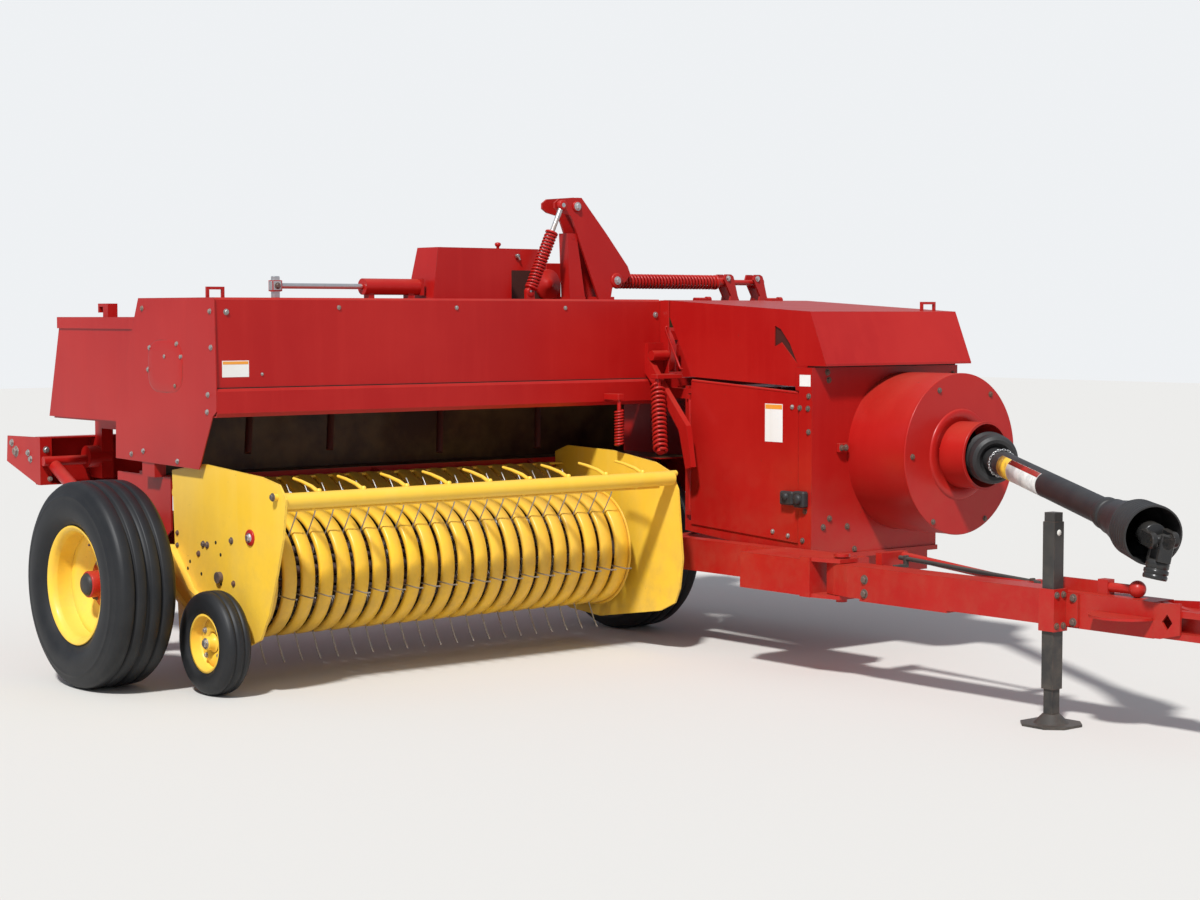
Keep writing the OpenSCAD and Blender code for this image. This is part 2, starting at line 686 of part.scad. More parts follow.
// Top spring carrier; its sloped plates meet at the apex
module spring_tower() placed() color(RED) {
    for (y = [-65, 15]) {
        front_plate(y, 10, [[-764, 1696], [-748, 1742], [-725, 1758], [-700, 1758], [-573, 1620],
            [-459, 1488], [-445, 1457], [-470, 1425], [-540, 1400], [-550, hood_top_z],
            [-610, hood_top_z], [-640, 1420], [-745, 1667]]);
        // Ear that holds the spring's rod
        front_plate(y, 10, [[-700, 1750], [-740, 1758], [-812, tower_eye[2] + 27],
            [-836, tower_eye[2] + 10], [-836, tower_eye[2] - 12], [-812, tower_eye[2] - 27],
            [-730, 1680]]);
    }
    // Box post between the plates
    front_plate(-9, 56, [[-752, hood_top_z], [-673, hood_top_z], [-719, 1616], [-764, 1616]]);
    for (x = [-740, -590]) block(x - 20, x + 60, -75, 15, hood_top_z, hood_top_z + 12);
    translate([-725, -75, 1723]) rotate([-90, 0, 0]) cylinder(d = 30, h = 90);
    translate([-735, -66, 1600]) rotate([-90, 0, 0]) cylinder(d = 16, h = 72);
}

module tower_spring() placed() color(RED) {
    low = tower_foot;
    high = tower_eye;
    spring_body(low + (high - low) * 0.05, low + (high - low) * 0.67, 52, 10, 14);
    color(STEEL) rod(low, high, 20);
    translate(high) rotate([90, 0, 0]) cylinder(d = 40, h = 24, center = true);
    rod([high[0], -75 - e, high[2]], [high[0], -95, high[2]], 18);
    translate(low) rotate([90, 0, 0]) cylinder(d = 40, h = 24, center = true);
    block(low[0] - 20, low[0] + 20, -100, -80, hood_top_z, low[2]);
}

module stroke_spring() placed() color(RED) {
    y = -30;
    z = 1428;
    spring_body([-477, y, z], [57, y, z], 62, 11, 28);
    rod_x(-540, 308, y, z, 24);
    translate([-518, y, z]) rotate([90, 0, 0]) cylinder(d = 54, h = 70 - 2 * e, center = true);
    translate([308, y, z]) rotate([90, 0, 0]) cylinder(d = 50, h = 40, center = true);
    // Two leaning legs on the stand
    for (x = [105, 275], q = [y - 30, y + 20]) front_plate(q + 10, 10, [[x, 1300], [x + 95, 1300],
        [x + 60, 1370], [x + 40, 1440], [x + 20, 1462], [x - 10, 1462], [x - 18, 1440], [x + 22, 1370]]);
    block(60, 372, y - 32, y + 50, 1292, 1304);
    block(60, 220, y + 26, y + 50, 1008, 1300);
}

module metering_rod() placed() color(RED) {
    y = 40;
    z = 1398;
    rod_x(-1671, -1418, y, z, 62);
    color(STEEL) rod_x(-2040, -1410, y, z, 20);
    block(-2070, -2030, y - 15, y + 15, z - 20, z + 20);
    block(-2062, -2038, y - 10, y + 10, hood_top_z, z + 34);
    block(-1421, -1410, y - 34, y + 34, z - 32, z + 32);
    for (x = [-1640, -1460]) block(x - 12, x + 12, y - 18, y + 18, hood_top_z, z - 20);
}

// Pickup lift: an arm beside the hood's end and its coil springs

module lift_arm() placed() color(RED) {
    side_plate(-568, 26, [[-330, 1180], [-330, 1120], [-430, 1000], [-560, 860], [-590, 700],
        [-555, 690], [-515, 840], [-400, 980], [-310, 1060], [-310, 1180]]);
    block(-568, -484, -330, -310, 1060, 1180);
    rod_x(-568, -486, -350, 1130, 40);
}

module lift_springs() placed() color(RED) {
    top = [-600, -427, 1015];
    low = [-700, -560, 760];
    spring_body(top, low, 60, 12, 14);
    rod([top[0], top[1], top[2] - 14], [top[0], top[1], 1050], 24);
    block(-620, -488, -446, -408, 1040, 1058);
    block(-520, -488, -440, hood_front_y, 1040, 1058);
    rod([-775, -400, 915], [-775, -400, 970], 16);
    spring_body([-775, -400, 780], [-775, -400, 926], 40, 8, 10);
    block(-790, -760, -412, hood_front_y - 14 - e, 960, 985);
}

// Drawbar

module tongue() placed() color(RED) {
    low = tongue_z - tongue_h / 2;
    high = tongue_z + tongue_h / 2;
    left = pin_x + tongue_w / 2;
    right = pin_x - tongue_w / 2;
    block(right, left, tongue_front_y, tongue_rear_y, low, high);
    // Clamp sleeve of the jack
    difference() {
        union() {
            block(jack_x - jack_w / 2 - 8, right, jack_y - jack_w / 2 - 8, jack_y + jack_w / 2 + 8,
                300, 434);
            block(right - 8, right, jack_y - 78, jack_y + 78, 316, 418);
        }
        block(jack_x - jack_w / 2 - e, jack_x + jack_w / 2 + e, jack_y - jack_w / 2 - e,
            jack_y + jack_w / 2 + e, 290, 440);
    }
    difference() {
        translate([0, 0, low + 1]) linear_extrude(tongue_h - 2) polygon([[right, tongue_rear_y],
            [left, tongue_rear_y], [pin_x + 42, pin_y], [pin_x + 30, -1520], [pin_x - 30, -1520],
            [pin_x - 42, pin_y]]);
        translate([pin_x, pin_y, low]) cylinder(d = pivot_d - 8, h = tongue_h);
    }
    // Pivot pin with its head
    translate([pin_x, pin_y, 284]) cylinder(d = pivot_d, h = 166);
    translate([pin_x, pin_y, 444]) cylinder(d = pivot_d + 18, h = 10);
    // Side rails that taper off the pivot
    for (s = [-1, 1]) translate([0, 0, low - 8]) linear_extrude(8) polygon([[pin_x + s * 50, -1700],
        [pin_x, -1700], [pin_x, -2100], [pin_x + s * 50, -2100]]);
    // Half round shelf and the rod with a ball end
    translate([right, -2826, low + 55]) intersection() {
        cylinder(r = 108, h = 8);
        translate([-120, -120, -1]) cube([121, 240, 10]);
    }
    rod([pin_x, -2716, high + 23], [pin_x, -2836, high + 23], 30);
    translate([pin_x, -2836, high + 26]) sphere(d = 54);
    block(pin_x - 17, pin_x + 17, -2735, -2697, high - 1, high + 47);
    block(pin_x - 5, pin_x + 5, -2698, -2475, high - 1, high + 39);
    rod([pin_x + 150, -1700, 452], [pin_x + 110, -2326, 406], 26);
    block(pin_x + 40, pin_x + 170, -2340, -2310, 360, 420);
    block(pin_x + 40, pin_x + 170, -1720, -1690, 360, 465);
}

module hitch() placed() color(RED) {
    high = tongue_z + tongue_h / 2;
    low = tongue_z - tongue_h / 2;
    difference() {
        union() {
            for (z = [low + 4, high - 39]) {
                block(pin_x - 45, pin_x + 45, -3230, tongue_front_y, z, z + 20);
                translate([pin_x, -3245, z]) cylinder(r = 45, h = 20);
            }
            side_plate(pin_x - 12, 24, [[tongue_front_y, low + 2], [tongue_front_y, high - 2],
                [-3060, high - 22], [-3110, low + 20]]);
            // Side plates with a diamond hole
            for (s = [-1, 1]) difference() {
                x = pin_x + s * 48 - 4;
                side_plate(x, 8, [[tongue_front_y, low + 2], [tongue_front_y, high - 2],
                    [-3033, high + 4], [-3033, low + 20], [-2960, low + 2]]);
                side_plate(x - 1, 10, [[-2986, tongue_z + 24], [-3005, tongue_z - 1],
                    [-2986, tongue_z - 26], [-2967, tongue_z - 1]]);
            }
        }
        translate([pin_x, -3245, 250]) cylinder(d = hitch_d, h = 300);
    }
}

module jack_tube() placed() color(BLACK) difference() {
    w = jack_w;
    union() {
        block(jack_x - w / 2, jack_x + w / 2, jack_y - w / 2, jack_y + w / 2, 116, 645);
        block(jack_x - w / 2 + 3, jack_x + w / 2 - 3, jack_y - w / 2 + 3, jack_y + w / 2 - 3, 644, 674);
    }
    block(jack_x - w / 2 + 5, jack_x + w / 2 - 5, jack_y - w / 2 + 5, jack_y + w / 2 - 5, 100, 640);
}

module jack_leg() placed() color(BLACK) {
    w = jack_w - 10 - 0.6;
    foot = 88;
    block(jack_x - w / 2, jack_x + w / 2, jack_y - w / 2, jack_y + w / 2, 14, 530);
    difference() {
        translate([jack_x - foot, jack_y - foot, 0]) cube([2 * foot, 2 * foot, 8]);
        for (s = [-1, 1], q = [-1, 1]) translate([jack_x + s * foot, jack_y + q * foot, -1])
            rotate(45) cube([62, 62, 30], center = true);
    }
    translate([jack_x, jack_y, 6]) cylinder(d1 = 116, d2 = 56, h = 30, $fn = 48);
}

// Power shaft: guard tube and bells, drawn along -Y from the rear joint

module along_shaft() translate([0, collar_y, joint_z]) rotate([0, 0, -pto_yaw])
    rotate([pto_pitch, 0, 0]) rotate([90, 0, 0]) children();

module pto_guard() placed() color(BLACK) along_shaft() rotate_extrude($fn = 72) {
    tube_r = 45;
    bore = 34;
    cone = pto_len - 440;
    polygon([[bore, 100], [tube_r, 100], [tube_r, cone + 5], [bore, cone + 5]]);
    // Rear bell with its ribs and rounded front edge
    polygon([[84, 14], [90, 14], [92, 80], [87, 98], [76, 107], [63, 105], [53, 94], [tube_r, 86],
        [tube_r, 150], [bore, 150], [bore, 79], [48, 79], [58, 89], [66, 98], [75, 100], [81, 94],
        [86, 79]]);
    for (i = [0 : 3]) translate([88, 18 + i * 12]) circle(5, $fn = 16);
    // Bearing rings on the shaft
    for (z = [110, cone - 25]) translate([25 + run_clear / 2, z]) square([bore - 24, 14]);
    // Front cone and its mouth
    polygon([[bore, cone], [tube_r, cone], [tube_r + 14, cone + 16], [tube_r + 14, cone + 40],
        [74, cone + 130], [90, cone + 190], [94, cone + 320], [89, cone + 320], [85, cone + 192],
        [69, cone + 134], [tube_r + 8, cone + 44], [bore, cone + 6]]);
}

// Moves to the front joint's cross, with Z down along its hanging outer yoke
module hanging() translate([0, 0, pto_len - 50]) rotate([90 - pto_pitch, 0, 0])
    rotate([0, -yoke_lean, 0]) children();

module pto_shaft() placed() color(STEEL) along_shaft() difference() {
    yoke_r = 38;
    union() {
        rotate_extrude() intersection() {
            circle(joint_r);
            translate([0, -joint_r]) square([joint_r, 2 * joint_r]);
        }
        cylinder(d = 50, h = pto_len - 144);
        translate([0, 0, pto_len - 170]) cylinder(r = yoke_r + 2, h = 60);
        for (s = [-1, 1]) translate([s * 34 - 9, -24, pto_len - 114]) cube([18, 48, 90]);
        translate([-42, 0, pto_len - 50]) rotate([0, 90, 0]) cylinder(d = 40, h = 84);
        hanging() {
            translate([0, -42, 0]) rotate([-90, 0, 0]) cylinder(d = 28, h = 84);
            for (s = [-1, 1]) translate([-22, s * 34 - 9, -20]) cube([44, 18, 86]);
            translate([0, 0, 60]) cylinder(r = yoke_r, h = 60);
        }
    }
    hanging() translate([0, 0, 55]) cylinder(d = 35, h = 70);
}

// Pickup

module pickup_frame() placed() color(YELLOW) {
    t = pickup_plate_t;
    difference() {
        union() {
            side_plate(pickup_right_x, t, [[38, 740], [-192, 773], [-576, 749], [-691, 729],
                [-734, 682], [-713, 548], [-673, 427], [-620, 288], [-566, 197], [-470, 160],
                [-60, 112], [-5, 130], [22, 461]]);
            side_plate(pickup_left_x - t, t, [[38, 740], [-41, 768], [-324, 761], [-583, 727],
                [-681, 691], [-716, 628], [-744, 366], [-727, 251], [-700, 195], [-613, 156],
                [-250, 99], [-60, 112], [-5, 130], [22, 461]]);
        }
        for (x = [pickup_right_x, pickup_left_x]) {
            rod_x(x - 20, x + 20, reel_y, reel_z, 40 + run_clear);
            rod_x(x - 20, x + 20, guard_y + 10, guard_z + 16, 24 + run_clear);
        }
    }
    // Pivot tube, strip that holds the bands' ends, lower tube
    rod_x(pick_in_r - 2, pick_in_l + 2, pivot_y, pivot_z, pivot_tube_d);
    block(pick_in_r - 2, pick_in_l + 2, -10, 20, 690, 698);
    rod_x(pick_in_r - 2, pick_in_l + 2, -40, 150, 36);
    // Curved pan behind the reel
    side_plate(pick_in_r - 2, pick_in_l - pick_in_r + 4,
        concat(arc(reel_y, reel_z, pan_r + 3, -44, 40, 10), arc(reel_y, reel_z, pan_r, 40, -44, 10)));
}

// Profile of a band, from the strip at its rear over the front to the lower tube
function band() = let (t = 4, top = 70) concat([[14, 702], [-14, 702]],
    arc(reel_y, reel_z, stripper_r, top, 280, 14), [[-40, 127.4], [-40, 131.4]],
    arc(reel_y, reel_z, stripper_r - t, 280, top, 14), [[-10, 698 + e], [14, 698 + e]]);

module strippers() placed() color(YELLOW) {
    gap = strip_pitch - stripper_w;
    for (i = [0 : stripper_n - 1])
        side_plate(strip_x0 + i * strip_pitch - stripper_w / 2, stripper_w, band());
    // Wide end bands, each with a raised edge toward its side plate
    right = strip_x0 - stripper_w / 2 - gap - end_band_w;
    left = strip_x0 + (stripper_n - 1) * strip_pitch + stripper_w / 2 + gap;
    for (x = [right, left]) side_plate(x, end_band_w, band());
    for (x = [right, left + end_band_w - 5]) side_plate(x, 5,
        concat(arc(reel_y, reel_z, stripper_r + 9, 75, 275, 14),
        arc(reel_y, reel_z, stripper_r - 1, 275, 75, 14)));
}

module reel() placed() color(STEEL) {
    rod_x(pickup_right_x - 14, pickup_left_x + 14, reel_y, reel_z, 40);
    n = tine_bars;
    for (x = [pick_in_r + 60, (pick_in_r + pick_in_l) / 2, pick_in_l - 70])
        rod_x(x, x + 8, reel_y, reel_z, 2 * tine_bar_r + 40);
    for (k = [0 : n - 1]) {
        a = 360 / n * k + 12;
        y = reel_y + tine_bar_r * cos(a);
        z = reel_z + tine_bar_r * sin(a);
        rod_x(pick_in_r + 8, pick_in_l - 8, y, z, 26);
        for (i = [0 : stripper_n]) {
            x = strip_x0 + (i - 0.5) * strip_pitch;
            rod([x, y, z], [x, reel_y + tine_r * cos(a), reel_z + tine_r * sin(a)], tine_d);
        }
    }
}

module wind_guard() placed() color(YELLOW) {
    rod_x(pick_in_r + 6, pick_in_l - 6, guard_y, guard_z, guard_d);
    rod_x(pickup_right_x - 16, pick_in_r + 40, guard_y + 10, guard_z + 16, 24);
    rod_x(pick_in_l - 40, pickup_left_x + 16, guard_y + 10, guard_z + 16, 24);
    pitch = (pick_in_l - pick_in_r - 300) / (guard_rods - 1);
    for (i = [0 : guard_rods - 1]) {
        x = pick_in_r + 150 + i * pitch;
        rod([x, guard_y, guard_z + 20], [x, guard_y + 160, guard_z + 62], 10);
        rod([x, guard_y, guard_z - 15], [x, guard_y + 47, guard_z - 36], 8);
    }
    // Thin bar under the pipe
    rod_x(pick_in_r + 30, pick_in_l - 30, guard_y + 47, guard_z - 36, 10);
}

module gauge_arm() placed() color(YELLOW) {
    x = pickup_right_x - 26 - e;
    difference() {
        side_plate(x, 26, [[130, 470], [20, 475], [-120, 330], [-403, 218], [-440, 178],
            [-403, 140], [-200, 170], [-73, 257], [110, 368]]);
        side_plate(x - 1, 20, [[112, 455], [28, 460], [-112, 316], [-350, 215], [-350, 170],
            [-210, 182], [-80, 270], [100, 378]]);
    }
    rod_x(gauge_x - 38, x + 10, gauge_y, gauge_d / 2, 25);
    rod_x(gauge_x + 36, x + 10, gauge_y, gauge_d / 2, 44);
}

main_frame();
axle();
bale_chamber();
tension_rails();
bale_chute();
knotter_stand();
needle_guard();
feeder_housing();
feeder_tines();
feeder_hood();
hood_lip();
hood_end_panel();
twine_box();
twine_lid();
rear_beam();
gear_housing();
side_door();
front_hood();
gearbox();
flywheel_guard();
flywheel();
top_box();
spring_tower();
tower_spring();
stroke_spring();
metering_rod();
lift_arm();
lift_springs();
right_tyre();
right_rim();
left_tyre();
left_rim();
tongue();
hitch();
jack_tube();
jack_leg();
pto_guard();
pto_shaft();
pickup_frame();
strippers();
reel();
wind_guard();
gauge_arm();
gauge_tyre();
gauge_rim();
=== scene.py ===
"""Looks of a square baler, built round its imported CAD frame. Lengths are in metres.

Places are laid out as in the CAD: x from the middle of the bale chamber to the machine's left,
y from the wheel axle to the rear, z from the ground. at() turns them into the row frame.
"""
import itertools
import math

import bpy
from mathutils import Matrix, Vector


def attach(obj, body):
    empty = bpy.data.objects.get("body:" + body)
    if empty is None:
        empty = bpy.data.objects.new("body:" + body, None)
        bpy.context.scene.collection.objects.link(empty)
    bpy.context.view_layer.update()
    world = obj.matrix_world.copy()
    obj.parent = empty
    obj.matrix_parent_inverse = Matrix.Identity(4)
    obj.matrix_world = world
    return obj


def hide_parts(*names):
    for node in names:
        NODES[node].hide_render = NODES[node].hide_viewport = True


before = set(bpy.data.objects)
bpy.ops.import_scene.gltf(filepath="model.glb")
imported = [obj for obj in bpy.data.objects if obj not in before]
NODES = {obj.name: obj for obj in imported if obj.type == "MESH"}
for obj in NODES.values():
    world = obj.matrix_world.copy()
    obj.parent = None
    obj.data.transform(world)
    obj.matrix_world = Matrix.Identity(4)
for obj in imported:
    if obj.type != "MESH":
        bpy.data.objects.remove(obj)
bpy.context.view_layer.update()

ORIGIN = Vector((1.298, 0.595, 0.0))

RIGHT, FRONT = (-1, 0, 0), (0, -1, 0)

# Driving places and sizes, the same as in the CAD
RIGHT_WHEEL = (-2.788, 0.36, 0.25)
LEFT_WHEEL = (-0.395, 0.345, 0.241)
GAUGE = (-2.568, -0.403, 0.178)
REEL_Y, REEL_Z = -0.297, 0.385
PLATE_RIGHT, PLATE_LEFT = -2.484, -0.74
PLATE_IN_RIGHT, PLATE_IN_LEFT = -2.476, -0.748
STRIPPER_R = 0.22
STRIPPER_N = 20
STRIPPER_W = 0.054
STRIPPER_X0 = PLATE_IN_RIGHT + 0.143
STRIPPER_PITCH = (PLATE_IN_LEFT - 0.18 - STRIPPER_X0) / (STRIPPER_N - 1)
END_BAND_W = 0.064
TINE_R = 0.32
TINE_BARS = 6
BAR_R = 0.118
HOOD_RIGHT, HOOD_FRONT = -2.508, -0.31
HOOD_TOP = 1.352
COVER_X = -0.48
COVER_FRONT = -1.174
DRUM_Z, DRUM_R = 0.771, 0.302
DRUM_FACE = -1.467
TONGUE_RIGHT, TONGUE_LEFT = -0.775, -0.675
JACK = (-0.81, -2.575)
TOWER_FOOT, TOWER_EYE = (-0.975, -0.09, 1.38), (-0.812, -0.09, 1.725)
PTO_REAR = Vector((0.0, -1.594, 0.771))
PTO_VEC = Vector((-0.816, -1.426, -0.16))
JOINT_R = 0.035


def at(x, y, z):
    """A place in the CAD's layout as a point of the row frame."""
    return Vector((x, y, z)) + ORIGIN


def link(name, data):
    """An object with some data, in the scene."""
    obj = bpy.data.objects.new(name, data)
    bpy.context.scene.collection.objects.link(obj)
    return obj


# Camera and light

def make_camera():
    """The photograph's viewpoint: 39.3 degrees round the right front corner, at eye height."""
    data = bpy.data.cameras.new("camera")
    data.sensor_width = 36.0
    data.lens = 67.57
    data.clip_end = 100.0
    camera = link("camera", data)
    camera.location = at(-6.375, -7.127, 1.2975)
    camera.rotation_euler = (math.radians(90 - 3.475), 0, math.radians(-39.29))
    bpy.context.scene.camera = camera


def make_light():
    """A soft sun from the front right, a pale sky and a floor that stays pale."""
    sun = bpy.data.lights.new("sun", "SUN")
    sun.energy = 4.1
    sun.angle = math.radians(5)
    lamp = link("sun", sun)
    lamp.rotation_euler = Vector((0.72, 0.52, -1.05)).to_track_quat("-Z", "Y").to_euler()

    world = bpy.data.worlds.new("sky")
    bpy.context.scene.world = world
    world.use_nodes = True
    tree = world.node_tree
    tree.nodes.clear()
    out = tree.nodes.new("ShaderNodeOutputWorld")
    shown = tree.nodes.new("ShaderNodeBackground")
    shown.inputs["Color"].default_value = (0.86, 0.88, 0.9, 1)
    lit = tree.nodes.new("ShaderNodeBackground")
    lit.inputs["Color"].default_value = (0.8, 0.87, 1.0, 1)
    lit.inputs["Strength"].default_value = 0.5
    mix = tree.nodes.new("ShaderNodeMixShader")
    path = tree.nodes.new("ShaderNodeLightPath")
    tree.links.new(path.outputs["Is Camera Ray"], mix.inputs["Fac"])
    tree.links.new(lit.outputs[0], mix.inputs[1])
    tree.links.new(shown.outputs[0], mix.inputs[2])
    tree.links.new(mix.outputs[0], out.inputs["Surface"])

    mesh = bpy.data.meshes.new("floor")
    s = 30.0
    mesh.from_pydata([(-s, -s, 0), (s, -s, 0), (s, s, 0), (-s, s, 0)], [], [(0, 1, 2, 3)])
    floor = link("floor", mesh)
    plain = bpy.data.materials.new("floor")
    plain.use_nodes = True
    bsdf = plain.node_tree.nodes["Principled BSDF"]
    bsdf.inputs["Base Color"].default_value = (0.62, 0.6, 0.56, 1)
    bsdf.inputs["Roughness"].default_value = 0.9
    mesh.materials.append(plain)
    bpy.context.scene.view_settings.view_transform = "Standard"


# Materials

class Shader:
    """A small helper that builds one Principled material from nodes."""

    def __init__(self, name, roughness, metallic=0.0):
        self.material = bpy.data.materials.new(name)
        self.material.use_nodes = True
        self.tree = self.material.node_tree
        self.bsdf = self.tree.nodes["Principled BSDF"]
        self.bsdf.inputs["Roughness"].default_value = roughness
        self.bsdf.inputs["Metallic"].default_value = metallic
        self.place = self.node("TexCoord").outputs["Object"]

    def put(self, value, socket):
        """Sets a socket to a number or a colour, or links another node's output to it."""
        if isinstance(value, bpy.types.NodeSocket):
            self.tree.links.new(value, socket)
        else:
            socket.default_value = value

    def node(self, kind, **sockets):
        node = self.tree.nodes.new("ShaderNode" + kind)
        for name, value in sockets.items():
            self.put(value, node.inputs[name])
        return node

    def noise(self, scale, detail=4.0, rough=0.55, stretch=None):
        place = self.place
        if stretch:
            place = self.node("Mapping", Vector=place, Scale=stretch).outputs["Vector"]
        return self.node("TexNoise", Vector=place, Scale=scale, Detail=detail,
                         Roughness=rough).outputs["Fac"]

    def span(self, value, low, high, to_low=0.0, to_high=1.0):
        """Maps low to to_low and high to to_high, and clamps between them."""
        node = self.node("MapRange", **{"Value": value, "From Min": low, "From Max": high,
                                        "To Min": to_low, "To Max": to_high})
        node.clamp = True
        return node.outputs["Result"]

    def math(self, kind, a, b):
        node = self.node("Math")
        node.operation = kind
        node.use_clamp = True
        self.put(a, node.inputs[0])
        self.put(b, node.inputs[1])
        return node.outputs[0]

    def times(self, a, b):
        return self.math("MULTIPLY", a, b)

    def mix(self, factor, a, b):
        node = self.node("Mix", Factor=factor)
        node.data_type = "RGBA"
        for socket, value in ((node.inputs[6], a), (node.inputs[7], b)):
            self.put((*value, 1.0) if isinstance(value, tuple) else value, socket)
        return node.outputs[2]

    def compare(self, kind, a, b):
        """One number from two vectors."""
        node = self.node("VectorMath")
        node.operation = kind
        self.put(a, node.inputs[0])
        self.put(b, node.inputs[1])
        return node.outputs["Value"]

    def part(self, vector, axis):
        return self.node("SeparateXYZ", Vector=vector).outputs[axis]

    def upward(self):
        """1 on faces that look up, 0 on walls and undersides."""
        return self.span(self.part(self.node("NewGeometry").outputs["Normal"], 2), 0.35, 0.95)

    def height(self, low, high):
        """1 at height low and under, 0 at height high and over."""
        return self.span(self.part(self.place, 2), low, high, 1.0, 0.0)

    def edges(self, radius):
        """1 on sharp edges, 0 on flat faces and in hollows' middles."""
        bevel = self.node("Bevel", Radius=radius)
        bevel.samples = 4
        turn = self.compare("DOT_PRODUCT", self.node("NewGeometry").outputs["Normal"],
                            bevel.outputs["Normal"])
        return self.span(turn, 0.9, 0.995, 1.0, 0.0)

    def inside_box(self, low, high):
        """1 inside a box whose corners are given in the CAD's layout."""
        a, b = at(*low), at(*high)
        whole = None
        for axis in range(3):
            socket = self.part(self.place, axis)
            above = self.span(socket, a[axis] - 0.001, a[axis] + 0.001)
            below = self.span(socket, b[axis] - 0.001, b[axis] + 0.001, 1.0, 0.0)
            both = self.times(above, below)
            whole = both if whole is None else self.times(whole, both)
        return whole

    def inside_pickup(self):
        """1 between the pickup's plates within the pan's radius of the reel."""
        x = self.part(self.place, 0)
        centre = at(0, REEL_Y, REEL_Z)
        axis = self.node("CombineXYZ", X=x, Y=centre[1], Z=centre[2]).outputs[0]
        near = self.span(self.compare("DISTANCE", self.place, axis), 0.336, 0.339, 1.0, 0.0)
        right, left = at(PLATE_IN_RIGHT, 0, 0)[0], at(PLATE_IN_LEFT, 0, 0)[0]
        beyond_right = self.span(x, right + 0.001, right + 0.003)
        beyond_left = self.span(x, left - 0.003, left - 0.001, 1.0, 0.0)
        return self.times(near, self.times(beyond_right, beyond_left))

    def bump(self, height, strength, distance):
        node = self.node("Bump", Strength=strength, Distance=distance, Height=height)
        self.put(node.outputs["Normal"], self.bsdf.inputs["Normal"])

    def colour(self, value):
        self.put(value, self.bsdf.inputs["Base Color"])
        return self.material


def painted(name, clean, faded, dirt, roughness, dirt_amount, chip, inner=None, box=None):
    """Weathered machine paint: faded patches, rain streaks, dust on top and mud below.

    inner is a painted shade colour for what the reel sweeps past; box has the corners of a space
    whose walls get painted shade.
    """
    s = Shader(name, roughness)
    s.bsdf.inputs["Coat Weight"].default_value = 0.08
    s.bsdf.inputs["Coat Roughness"].default_value = 0.18
    s.bsdf.inputs["Specular IOR Level"].default_value = 0.28
    fade = s.span(s.noise(1.3, 5), 0.38, 0.66)
    streak = s.span(s.noise(2.0, 6, 0.6, (9, 9, 0.7)), 0.5, 0.72, 0.0, 0.55)
    shade = s.mix(streak, s.mix(fade, clean, faded), faded)
    dust = s.times(s.upward(), s.span(s.noise(5.0, 6, 0.65), 0.3, 0.7, 0.25, 0.9))
    mud = s.times(s.height(0.15, 0.8), s.span(s.noise(9.0, 8, 0.7), 0.42, 0.68))
    cover = s.times(s.math("MAXIMUM", dust, mud), dirt_amount)
    shade = s.mix(cover, shade, dirt)
    chips = s.span(s.noise(34.0, 9, 0.72), 0.675, 0.7)
    rubbed = s.times(s.edges(0.004), s.span(s.noise(22.0, 6, 0.7), 0.42, 0.62))
    bare = s.math("MAXIMUM", s.times(chips, 0.7), s.times(rubbed, 0.75))
    shade = s.mix(bare, shade, chip)
    # Painted shade: between the pickup's plates and within the reel's sweep the colour turns to
    # the dark inner colour.
    if inner:
        shade = s.mix(s.inside_pickup(), shade, inner)
    # Painted shade: inside the box the walls are darkened, with some variation, to stand for the
    # shade inside the feeder.
    if box:
        painted_inner_shade = s.mix(s.span(s.noise(3.1, 6, 0.6), 0.4, 0.62), (0.02, 0.005, 0.004),
                     (0.105, 0.062, 0.026))
        shade = s.mix(s.inside_box(*box), shade, painted_inner_shade)
    s.put(s.span(cover, 0.0, 1.0, roughness, 0.85), s.bsdf.inputs["Roughness"])
    ripple = s.math("ADD", s.times(s.noise(2.6, 2), 0.9), s.times(s.noise(90.0, 3), 0.02))
    s.bump(ripple, 0.35, 0.012)
    return s.colour(shade)


def rubber(name, colour, dust_colour, roughness=0.75):
    """Dusty black rubber with fine moulding lines round the wheel."""
    s = Shader(name, roughness)
    s.bsdf.inputs["Specular IOR Level"].default_value = 0.35
    dust = s.times(s.span(s.noise(6.0, 7, 0.65), 0.35, 0.7), 0.55)
    low = s.times(s.height(0.02, 0.5), s.span(s.noise(16.0, 8, 0.7), 0.35, 0.6))
    shade = s.mix(s.math("MAXIMUM", dust, s.times(low, 0.6)), colour, dust_colour)
    rubbed = s.times(s.edges(0.003), 0.4)
    shade = s.mix(rubbed, shade, tuple(1.5 * c for c in dust_colour))
    lines = s.noise(3.0, 3, 0.6, (90, 3, 3))
    grain = s.times(s.noise(160.0, 5), 0.3)
    s.bump(s.math("ADD", grain, s.times(lines, 0.7)), 0.3, 0.002)
    return s.colour(shade)


def bare_metal(name, colour, rust, rust_amount, roughness=0.42):
    """Worn steel with rust in patches."""
    s = Shader(name, roughness, 0.85)
    patches = s.span(s.noise(7.0, 9, 0.7), 0.6 - 0.22 * rust_amount, 0.74 - 0.18 * rust_amount)
    shade = s.mix(patches, s.mix(s.noise(40.0, 4), colour, tuple(0.72 * c for c in colour)), rust)
    shade = s.mix(s.times(s.edges(0.002), 0.4), shade, tuple(1.2 * c for c in colour))
    s.put(s.span(patches, 0, 1, 0.85, 0.1), s.bsdf.inputs["Metallic"])
    s.put(s.span(patches, 0, 1, roughness, 0.85), s.bsdf.inputs["Roughness"])
    s.bump(s.noise(120.0, 6), 0.2, 0.001)
    return s.colour(shade)


